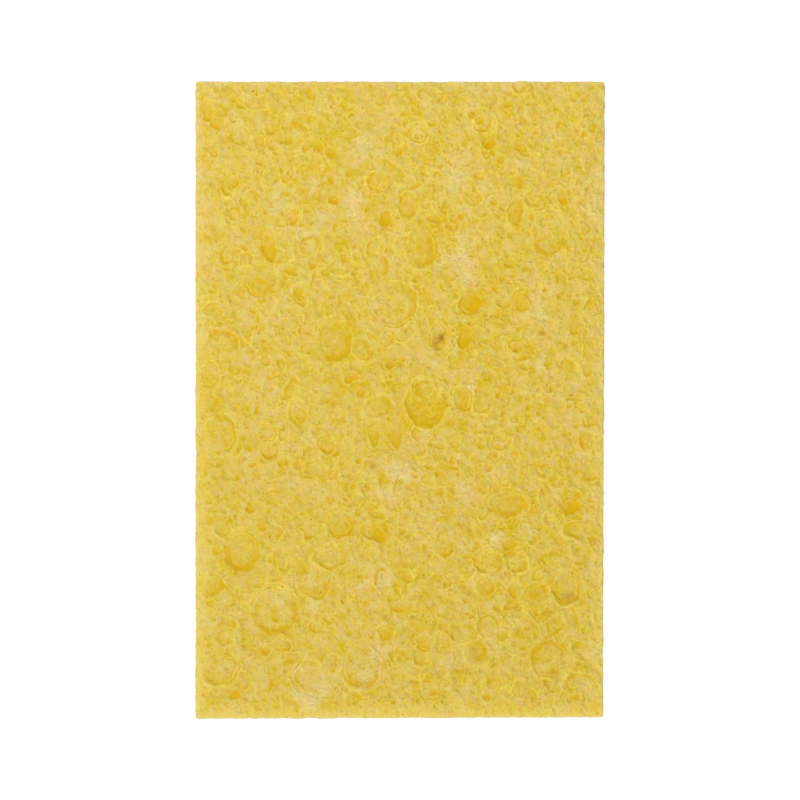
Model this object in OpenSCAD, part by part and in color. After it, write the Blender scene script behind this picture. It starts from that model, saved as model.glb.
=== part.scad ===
// Compressed cellulose sponge: one rectangular sheet, cut with a blade and pressed flat as it dried.
// The round pores of the loose sponge have collapsed, so on the two faces they are shallow dishes and
// undercut pockets, and in the four cut sides they are thin slits.
// The sheet lies flat. +Z is up, +Y is its length, and the origin is under its middle.

/* [Sheet] */
// Width of the sheet at its far end
sheet_w = 70.6; // [60:0.1:90]
// Length of the sheet along its left side
sheet_l = 110; // [100:0.5:140]
// Thickness of the pressed sheet
sheet_t = 4; // [3.5:0.5:6]
// How much narrower the near end is than the far end, where the blade ran off square
end_run_off = 0.35; // [0:0.05:1]
// How much shorter the right side is than the left
side_run_off = 0.25; // [0:0.05:1]

/* [Small pores] */
// Spacing of the small pores over the two faces
pore_pitch = 6; // [5:0.5:12]
// Radius of the smallest pore
pore_r_min = 0.5; // [0.4:0.1:0.8]
// Radius of the largest of the scattered pores
pore_r_max = 1.9; // [1:0.1:2.2]
// Depth of a pore as a share of its radius
pore_flatness = 0.34; // [0.2:0.02:0.4]
// Seed of the scatter
pore_seed = 7; // [1:1:50]

/* [Slits] */
// Spacing of the slits along the cut sides
slit_pitch = 5.5; // [4.5:0.5:10]
// Longest half length of a slit
slit_r_max = 2.4; // [1:0.1:2.6]
// Half the height of a slit
slit_h = 0.28; // [0.15:0.01:0.35]

/* [Underside] */
// Radius of the middle of the underside, which is left whole to rest on
rest_r = 7; // [4:0.5:12]

/* [Hidden] */

sponge_yellow = [0.87, 0.75, 0.31];
half_w = sheet_w / 2;
half_l = sheet_l / 2;

// Smallest pore that is still cut near an edge of a face, and the margin that keeps it off the edge
edge_margin = 0.5;

// The large open pores of the upper face: [x, y, radius, depth], smooth dishes
dishes = [
    [34.9, 37.8, 5.4, 0.7],    // cut through by the right side
    [3.8, 26.3, 3.2, 0.8],
    [-23.9, 20.6, 2.9, 0.5],
    [-3.6, -1.2, 2.2, 0.5],
    [11.9, 16.2, 2.0, 0.9],
    [29.3, -18.4, 1.8, 0.9],
    [28.7, -32.6, 2.8, 0.8],
    [-27.3, -26.1, 3.4, 0.9],
    [-10.4, -21.5, 2.3, 0.8],
    [-14.6, -31.4, 2.8, 0.7],
    [18.2, -16.7, 3.1, 0.9],
    [-21.6, -36.2, 4.3, 0.6],
    [26.0, -44.5, 3.5, 0.6],
    [-30.7, -5.9, 3.0, 0.6],
    [25.7, 28.7, 3.5, 0.5],
    [-1.0, 16.5, 4.0, 0.4],
    [-15.6, -47.6, 3.0, 0.6],
    [-6.4, -45.6, 3.9, 0.6]
];

// The pores of the upper face whose mouth is narrower than the pocket below it:
// [x, y, radius, half height, depth of the widest part]
pockets = [
    [4.2, -0.9, 3.8, 0.9, 0.35],
    [5.1, 2.4, 2.7, 0.7, 0.25],
    [-11.0, 10.0, 3.4, 0.7, 0.2],
    [1.6, 33.8, 1.9, 0.6, 0.2],
    [19.7, 32.5, 1.8, 0.6, 0.2],
    [-22.7, 26.8, 1.5, 0.5, 0.15],
    [10.9, 0.1, 1.8, 0.6, 0.15],
    [7.8, -25.5, 1.8, 0.6, 0.2],
    [-27.3, 45.6, 1.9, 0.5, 0.15],
    [15.4, 44.6, 1.2, 0.5, 0.15],
    [-11.3, 34.5, 1.2, 0.5, 0.15],
    [-17.6, -2.4, 1.9, 0.5, 0.15],
    [20.2, -28.2, 1.9, 0.5, 0.15],
    [13.0, -43.5, 2.1, 0.5, 0.15]
];

// Radius of the ball whose cap has rim radius r and height h
function ball_r(r, h) = (r * r + h * h) / (2 * h);

function distance(a, b) = norm([a[0] - b[0], a[1] - b[1]]);

// A place is clear when no large pore reaches it
function clear_of(place, reach, pores) = min([for (p = pores) distance(place, p) - p[2]]) > reach;

// Small pores on a grid, each shifted within its cell: [x, y, radius]. The square of an even random
// number makes small pores common and large ones rare.
function scattered(seed) =
    let (
        nx = floor(sheet_w / pore_pitch),
        ny = floor(sheet_l / pore_pitch),
        shift = rands(-0.5, 0.5, 2 * nx * ny, seed),
        size = rands(0, 1, nx * ny, seed + 1)
    )
    [for (i = [0 : nx - 1], j = [0 : ny - 1])
        let (
            k = i * ny + j,
            r = pore_r_min + (pore_r_max - pore_r_min) * size[k] * size[k],
            play = pore_pitch - 2 * r - edge_margin
        )
        [(i + 0.5 - nx / 2) * pore_pitch + play * shift[2 * k],
         (j + 0.5 - ny / 2) * pore_pitch + play * shift[2 * k + 1], r]
    ];

// A dish is the cap of a large ball that dips into the face
module dish(place, r, h) {
    ball = ball_r(r, h);
    translate([place[0], place[1], sheet_t + ball - h]) sphere(ball, $fn = 96);
}

// A collapsed pore is a lens: what two balls share, one above the other
module lens(r, h) {
    ball = ball_r(r, h);
    intersection() {
        translate([0, 0, ball - h]) sphere(ball, $fn = 96);
        translate([0, 0, h - ball]) sphere(ball, $fn = 96);
    }
}

module upper_pores() {
    for (p = dishes) dish(p, p[2], p[3]);
    for (p = pockets) translate([p[0], p[1], sheet_t - p[4]]) lens(p[2], p[3]);
    for (p = scattered(pore_seed))
        if (clear_of(p, p[2] + edge_margin / 2, concat(dishes, pockets)))
            dish(p, p[2], p[2] * pore_flatness);
}

// The underside has pores of the same kind, away from the middle that the sheet rests on
module lower_pores() {
    translate([0, 0, sheet_t]) mirror([0, 0, 1])
        for (p = scattered(pore_seed + 2))
            if (distance(p, [0, 0]) > rest_r + p[2]) dish(p, p[2], p[2] * pore_flatness);
}

// Slits along one side of the sheet, which runs along X at the origin. Each slit has its own length
// and its own height in the thickness.
module slit_row(side_l, seed) {
    n = floor(side_l / slit_pitch);
    length = rands(0.35, 1, n, seed);
    level = rands(0.24, 0.76, n, seed + 1);
    for (i = [0 : n - 1])
        translate([(i + 0.5 - n / 2) * slit_pitch, 0, level[i] * sheet_t])
            lens(slit_r_max * length[i], slit_h);
}

module side_slits() {
    translate([0, half_l, 0]) slit_row(sheet_w, pore_seed + 4);
    translate([0, side_run_off / 2 - half_l, 0]) slit_row(sheet_w, pore_seed + 6);
    translate([-half_w, 0, 0]) rotate([0, 0, 90]) slit_row(sheet_l, pore_seed + 8);
    translate([half_w - end_run_off / 2, 0, 0]) rotate([0, 0, 90]) slit_row(sheet_l, pore_seed + 10);
}

// The sheet as the blade leaves it: three corners square, the near right one a little short
module cut_sheet() {
    linear_extrude(sheet_t) polygon([
        [-half_w, half_l],
        [-half_w, -half_l],
        [half_w - end_run_off, side_run_off - half_l],
        [half_w, half_l]
    ]);
}

module sponge() {
    color(sponge_yellow) difference() {
        cut_sheet();
        upper_pores();
        lower_pores();
        side_slits();
    }
}

sponge();
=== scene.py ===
import math

import bpy
import numpy as np
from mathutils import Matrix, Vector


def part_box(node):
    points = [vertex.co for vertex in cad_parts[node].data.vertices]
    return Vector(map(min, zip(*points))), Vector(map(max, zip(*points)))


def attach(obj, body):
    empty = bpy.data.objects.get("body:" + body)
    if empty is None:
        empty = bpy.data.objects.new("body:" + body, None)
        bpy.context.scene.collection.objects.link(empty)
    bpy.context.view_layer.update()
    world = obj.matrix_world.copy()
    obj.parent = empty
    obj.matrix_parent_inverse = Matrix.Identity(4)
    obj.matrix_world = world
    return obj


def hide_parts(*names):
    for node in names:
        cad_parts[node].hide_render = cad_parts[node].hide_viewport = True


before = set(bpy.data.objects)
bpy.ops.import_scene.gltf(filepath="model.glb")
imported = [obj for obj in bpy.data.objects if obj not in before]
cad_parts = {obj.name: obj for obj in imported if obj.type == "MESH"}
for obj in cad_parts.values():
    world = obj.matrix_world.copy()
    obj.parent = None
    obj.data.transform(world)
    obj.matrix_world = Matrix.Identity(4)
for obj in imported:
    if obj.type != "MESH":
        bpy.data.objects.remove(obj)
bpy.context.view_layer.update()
MM = 0.001


# ---- The view -------------------------------------------------------------------------------
# The sponge lies flat and is seen from straight above, with its length upright in the frame. A
# long lens keeps its sides square. The frame is 138 mm high at the level of the upper face.
sheet_lo, sheet_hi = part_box("sponge")
view_height = 137.8 * MM
aim_x, aim_y = -0.04 * MM, 0.03 * MM
lens = 100.0
sensor = 36.0
camera_data = bpy.data.cameras.new("camera")
camera_data.lens = lens
camera_data.sensor_width = sensor
camera = bpy.data.objects.new("camera", camera_data)
camera.location = (aim_x, aim_y, sheet_hi.z + view_height * lens / sensor)
bpy.context.collection.objects.link(camera)
bpy.context.scene.camera = camera
bpy.context.scene.view_settings.view_transform = "Standard"


# ---- The light ------------------------------------------------------------------------------
# Soft studio light: a pale surround, one broad lamp from the near side, low enough for the pores
# to shade themselves, and a small weak one overhead.
def soft_lamp(name, place, size, power):
    """A square lamp of size metres that points at the sponge."""
    lamp = bpy.data.lights.new(name, "AREA")
    lamp.shape = "SQUARE"
    lamp.size = size
    lamp.energy = power
    ob = bpy.data.objects.new(name, lamp)
    ob.location = place
    away = ob.location.normalized()
    ob.rotation_euler = away.to_track_quat("Z", "Y").to_euler()
    bpy.context.collection.objects.link(ob)


soft_lamp("key", (-0.16, -1.1, 0.84), 0.7, 7.5)
soft_lamp("fill", (-0.1, 0.2, 0.42), 0.15, 1.0)
world = bpy.data.worlds.new("surround")
world.use_nodes = True
surround = world.node_tree.nodes["Background"]
surround.inputs["Color"].default_value = (1.0, 1.0, 1.0, 1.0)
surround.inputs["Strength"].default_value = 0.406
bpy.context.scene.world = world


# ---- The floor ------------------------------------------------------------------------------
# A plain white table top. It looks white from every side and keeps the shadow of the sponge, and
# it throws as much light back at the sponge as painted board does.
floor_half = 1.5
board_grey, shaded_grey, board_glow = 0.8, 0.16, 0.9
floor_mesh = bpy.data.meshes.new("floor")
floor_mesh.from_pydata(
    [(-floor_half, -floor_half, 0), (floor_half, -floor_half, 0),
     (floor_half, floor_half, 0), (-floor_half, floor_half, 0)],
    [], [(0, 1, 2, 3)])
floor = bpy.data.objects.new("floor", floor_mesh)
bpy.context.collection.objects.link(floor)

floor_white = bpy.data.materials.new("floor_white")
floor_white.use_nodes = True
nodes, links = floor_white.node_tree.nodes, floor_white.node_tree.links
nodes.clear()
painted = nodes.new("ShaderNodeBsdfDiffuse")
painted.inputs["Color"].default_value = (board_grey, board_grey, board_grey, 1.0)
seen_lit = nodes.new("ShaderNodeBsdfDiffuse")
seen_lit.inputs["Color"].default_value = (shaded_grey, shaded_grey, shaded_grey, 1.0)
glow = nodes.new("ShaderNodeEmission")
glow.inputs["Color"].default_value = (1.0, 1.0, 1.0, 1.0)
glow.inputs["Strength"].default_value = board_glow
seen = nodes.new("ShaderNodeAddShader")
ray = nodes.new("ShaderNodeLightPath")
choose = nodes.new("ShaderNodeMixShader")
output = nodes.new("ShaderNodeOutputMaterial")
links.new(seen_lit.outputs[0], seen.inputs[0])
links.new(glow.outputs[0], seen.inputs[1])
links.new(ray.outputs["Is Camera Ray"], choose.inputs[0])
links.new(painted.outputs[0], choose.inputs[1])
links.new(seen.outputs[0], choose.inputs[2])
links.new(choose.outputs[0], output.inputs[0])
floor.data.materials.append(floor_white)


# ---- The sponge -----------------------------------------------------------------------------
# Regenerated cellulose, cast round crystals that were washed out, so it is full of round pores
# of many sizes. It was cut with a blade and dried under pressure, so each pore is a flat dish
# where a face cuts it and a slit where a side cuts it. Sizes are in mm.
step = np.array([0.15, 0.15, 0.11])
low = np.array(sheet_lo) / MM
high = np.array(sheet_hi) / MM
half = (high - low) / 2
thickness = high[2]
margin = 3 * step
count = np.ceil((high - low + 2 * margin) / step).astype(int) + 1
origin = low - margin
grid_x, grid_y, grid_z = [origin[k] + step[k] * np.arange(count[k]) for k in range(3)]
plan_x, plan_y = np.meshgrid(grid_x, grid_y, indexing="ij")
rng = np.random.default_rng(41)


def grain(wavelength, spread, seed):
    """Even random relief over the plan, one high on average, whose waves are wavelength mm long."""
    noise = np.random.default_rng(seed).standard_normal(plan_x.shape)
    fx = np.fft.fftfreq(plan_x.shape[0], step[0])[:, None]
    fy = np.fft.rfftfreq(plan_x.shape[1], step[1])[None, :]
    waves = np.hypot(fx, fy) * wavelength + 1e-9
    kept = np.exp(-0.5 * (np.log(waves) / spread) ** 2)
    relief = np.fft.irfft2(np.fft.rfft2(noise) * kept, plan_x.shape)
    return (relief / relief.std()).astype(np.float32)


def blend_min(a, b, round_over):
    """The smaller of a and b, with the edge where they meet rounded over that many mm."""
    share = np.clip(0.5 + 0.5 * (b - a) / round_over, 0, 1)
    return b + (a - b) * share - round_over * share * (1 - share)


def inside_of(start, end):
    """Distance of each point of the plan from the line start to end, above zero on its left."""
    run = np.subtract(end, start)
    return ((plan_y - start[1]) * run[0] - (plan_x - start[0]) * run[1]) / np.hypot(*run)


# The outline. The blade ran a little off square at the near right corner, and the cut foam spreads
# a little at its sides.
end_run_off, side_run_off = 0.35, 0.25
spread_x, spread_y = 0.09, 0.06
edge_round = 0.5
corners = [(low[0] - spread_x, low[1] - spread_y),
           (high[0] + spread_x - end_run_off, low[1] - spread_y + side_run_off),
           (high[0] + spread_x, high[1] + spread_y), (low[0] - spread_x, high[1] + spread_y)]
plan = inside_of(corners[0], corners[1])
for start, end in zip(corners[1:], corners[2:] + corners[:1]):
    plan = blend_min(plan, inside_of(start, end), edge_round)
plan = plan.astype(np.float32)

# The pores that catch the eye on the upper face: x, y, half width, half length, turn, depth, how
# much of the floor is bare smooth film, and the bearing towards which the floor dips. In degrees.
far_pores = [
    (15.3, 44.4, 1.2, 1.1, 0, 0.7, 0.9, -60), (18.3, 51.0, 0.8, 0.7, 0, 0.5, 0.7, -90),
    (13.6, 38.6, 1.1, 1.0, 0, 0.3, 0.4, -120), (12.6, 34.9, 1.6, 1.5, 0, 0.3, 0.1, 0),
    (1.5, 33.7, 1.7, 2.4, 0, 0.5, 0.35, -135), (3.8, 26.3, 2.6, 4.0, -12, 0.5, 0.25, -20),
    (16.4, 40.1, 1.0, 1.0, 0, 0.3, 0.4, 0), (20.6, 37.5, 0.7, 1.4, 10, 0.5, 0.7, 0),
    (22.8, 34.8, 1.4, 1.4, 0, 0.2, 0.1, -90), (19.9, 32.3, 1.4, 2.4, 0, 0.5, 0.5, 0),
    (28.0, 34.8, 0.9, 1.4, 20, 0.4, 0.8, -90), (25.7, 28.7, 2.9, 4.1, 0, 0.3, 0.1, -90),
    (34.9, 37.9, 5.2, 5.9, 0, 0.12, 0.0, 0), (3.1, 46.0, 1.7, 1.7, 0, 0.2, 0.0, -90),
    (5.5, 43.2, 1.2, 1.2, 0, 0.2, 0.1, 0), (0.5, 49.3, 0.7, 0.6, 0, 0.4, 0.7, -90),
    (6.3, 31.2, 1.9, 0.8, 0, 0.4, 0.7, -90), (18.8, 23.4, 0.9, 0.8, 0, 0.4, 0.6, -90),
    (30.1, 21.4, 1.5, 0.5, 35, 0.3, 0.3, -90), (2.6, 20.8, 0.7, 0.7, 0, 0.4, 0.6, -90),
    (-19.2, 44.7, 0.9, 0.9, 0, 0.5, 0.8, -90), (-22.3, 46.7, 1.2, 1.1, 0, 0.3, 0.2, -90),
    (-24.4, 44.6, 1.0, 1.0, 0, 0.3, 0.4, -90), (-27.7, 45.5, 1.9, 1.8, 0, 0.4, 0.15, -135),
    (-24.1, 41.2, 1.0, 0.9, 0, 0.3, 0.2, -90), (-13.9, 43.6, 0.9, 0.8, 0, 0.5, 0.8, -90),
    (-12.0, 42.5, 1.0, 0.9, 0, 0.5, 0.8, -90), (-11.4, 34.4, 1.1, 1.1, 0, 0.6, 0.8, -90),
    (-9.0, 39.3, 0.8, 0.7, 0, 0.5, 0.7, -90), (-4.2, 37.7, 1.7, 1.7, 0, 0.3, 0.35, -160),
    (-2.5, 31.3, 1.0, 1.6, -20, 0.6, 0.9, -90), (-22.8, 26.8, 1.4, 3.1, 8, 0.6, 0.5, -80),
    (-24.1, 20.6, 2.9, 2.9, 0, 0.4, 0.2, -90), (-29.1, 37.3, 1.3, 0.9, 0, 0.4, 0.6, -60),
    (-33.2, 50.0, 0.7, 2.1, 5, 0.4, 0.5, -90), (-15.2, 23.5, 0.7, 1.4, 0, 0.5, 0.6, -90),
]
middle_pores = [
    (-11.1, 10.2, 2.9, 3.8, 0, 0.9, 0.3, -50), (-17.5, 18.7, 1.0, 1.0, 0, 0.5, 0.8, -90),
    (-30.8, 9.4, 3.1, 3.0, 0, 0.3, 0.05, 90), (-32.7, 4.5, 1.7, 2.1, 0, 0.5, 0.2, -90),
    (-1.8, 6.1, 0.8, 0.8, 0, 0.6, 1.0, -90), (-3.7, -1.2, 2.6, 1.8, 15, 0.4, 0.3, 0),
    (-17.7, -2.4, 1.7, 2.4, 0, 0.4, 0.15, -90), (-30.8, -5.8, 2.6, 3.5, 0, 0.5, 0.05, 0),
    (-33.2, -0.5, 1.7, 1.7, 0, 0.3, 0.35, 0), (-22.7, -5.7, 1.6, 1.6, 0, 0.3, 0.2, -60),
    (-22.5, -8.8, 1.7, 1.6, 0, 0.3, 0.2, -90), (-12.8, -7.7, 1.6, 1.5, 0, 0.3, 0.2, -90),
    (-4.5, -6.0, 1.0, 2.4, 5, 0.5, 0.5, -60), (-0.7, -5.8, 1.2, 2.4, 0, 0.5, 0.5, -90),
    (12.0, 16.4, 2.1, 2.0, 0, 0.9, 1.0, -30), (6.5, 10.6, 1.6, 2.2, 0, 0.5, 0.3, -90),
    (11.1, 10.6, 0.9, 2.4, -18, 0.7, 1.0, -90), (4.7, 1.9, 2.3, 1.9, 0, 0.12, 0.1, 180),
    (4.4, -0.7, 3.4, 4.4, 0, 0.4, 0.15, -95), (10.9, 0.2, 1.7, 2.1, 0, 0.5, 0.4, -45),
    (-1.1, 16.4, 4.1, 4.1, 0, 0.3, 0.0, -20), (20.9, 16.4, 1.4, 1.4, 0, 0.3, 0.3, -90),
    (29.9, 11.8, 0.9, 0.8, 0, 0.4, 0.6, -90), (19.8, 9.4, 1.4, 1.3, 0, 0.3, 0.2, -90),
    (30.0, 0.2, 1.6, 0.5, 0, 0.3, 0.5, -90), (32.3, 4.9, 1.0, 1.0, 0, 0.4, 0.5, -90),
    (17.4, -7.4, 1.6, 1.5, 0, 0.2, 0.0, -90), (14.0, -1.0, 1.6, 1.5, 0, 0.3, 0.2, -90),
    (32.6, -3.4, 1.4, 1.4, 0, 0.3, 0.1, -90), (32.6, -13.1, 1.4, 0.9, 0, 0.4, 0.5, -90),
]
near_pores = [
    (18.2, -17.6, 3.7, 2.5, 0, 0.5, 0.35, -60), (29.3, -18.3, 1.7, 1.7, 0, 0.8, 1.0, -30),
    (7.7, -25.6, 1.7, 1.6, 0, 0.5, 0.2, -60), (11.5, -26.9, 1.0, 0.7, 0, 0.4, 0.7, -90),
    (18.8, -25.0, 1.6, 0.9, 0, 0.5, 0.7, -90), (15.9, -28.1, 1.9, 1.9, 0, 0.3, 0.2, 0),
    (20.2, -28.1, 1.9, 1.8, 0, 0.3, 0.1, -90), (14.7, -32.1, 1.6, 1.6, 0, 0.5, 0.3, -10),
    (19.5, -33.0, 0.7, 1.4, 10, 0.5, 0.6, -90), (18.8, -35.7, 1.0, 0.7, 0, 0.4, 0.6, -90),
    (23.5, -33.5, 2.1, 2.1, 0, 0.3, 0.35, 90), (28.7, -32.5, 2.6, 2.9, 0, 0.6, 0.3, -65),
    (15.3, -39.0, 2.1, 2.1, 0, 0.3, 0.15, 90), (12.9, -43.4, 2.1, 2.0, 0, 0.3, 0.25, 0),
    (15.9, -47.7, 0.8, 2.1, -30, 0.4, 0.5, -90), (25.9, -44.6, 3.5, 3.4, 0, 0.4, 0.15, 120),
    (4.3, -42.1, 1.4, 1.3, 0, 0.4, 0.5, -135), (1.2, -30.7, 1.0, 1.0, 0, 0.4, 0.6, -90),
    (20.7, -49.9, 1.4, 1.4, 0, 0.2, 0.1, -90), (-27.3, -26.1, 3.1, 3.8, 0, 0.6, 0.3, -90),
    (-30.5, -22.3, 1.4, 1.4, 0, 0.3, 0.3, -90), (-15.8, -23.3, 0.9, 0.8, 0, 0.5, 0.8, -90),
    (-10.4, -21.6, 2.4, 2.3, 0, 0.5, 0.35, -60), (-4.5, -23.1, 2.1, 1.3, -20, 0.7, 0.8, -60),
    (-3.8, -19.8, 1.4, 0.9, 0, 0.5, 0.7, -90), (-12.1, -27.1, 2.9, 2.2, 0, 0.3, 0.05, -90),
    (-14.7, -31.4, 2.8, 2.9, 0, 0.5, 0.1, -80), (-32.5, -31.9, 2.1, 2.1, 0, 0.4, 0.35, -45),
    (-21.6, -36.3, 4.3, 4.2, 0, 0.4, 0.05, -70), (-20.3, -42.3, 1.4, 1.3, 0, 0.3, 0.3, -45),
    (-15.8, -47.7, 2.9, 2.9, 0, 0.4, 0.1, 180), (-6.4, -45.6, 3.8, 4.3, 0, 0.4, 0.1, -60),
    (-31.0, -45.9, 3.5, 3.4, 0, 0.3, 0.05, -90), (-8.2, -51.5, 1.7, 1.0, 0, 0.5, 0.6, -20),
    (-2.6, -40.1, 1.4, 1.3, 0, 0.4, 0.5, -90), (-29.2, -50.8, 1.6, 0.9, 0, 0.5, 0.8, -30),
]
hero_pores = far_pores + middle_pores + near_pores

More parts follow.
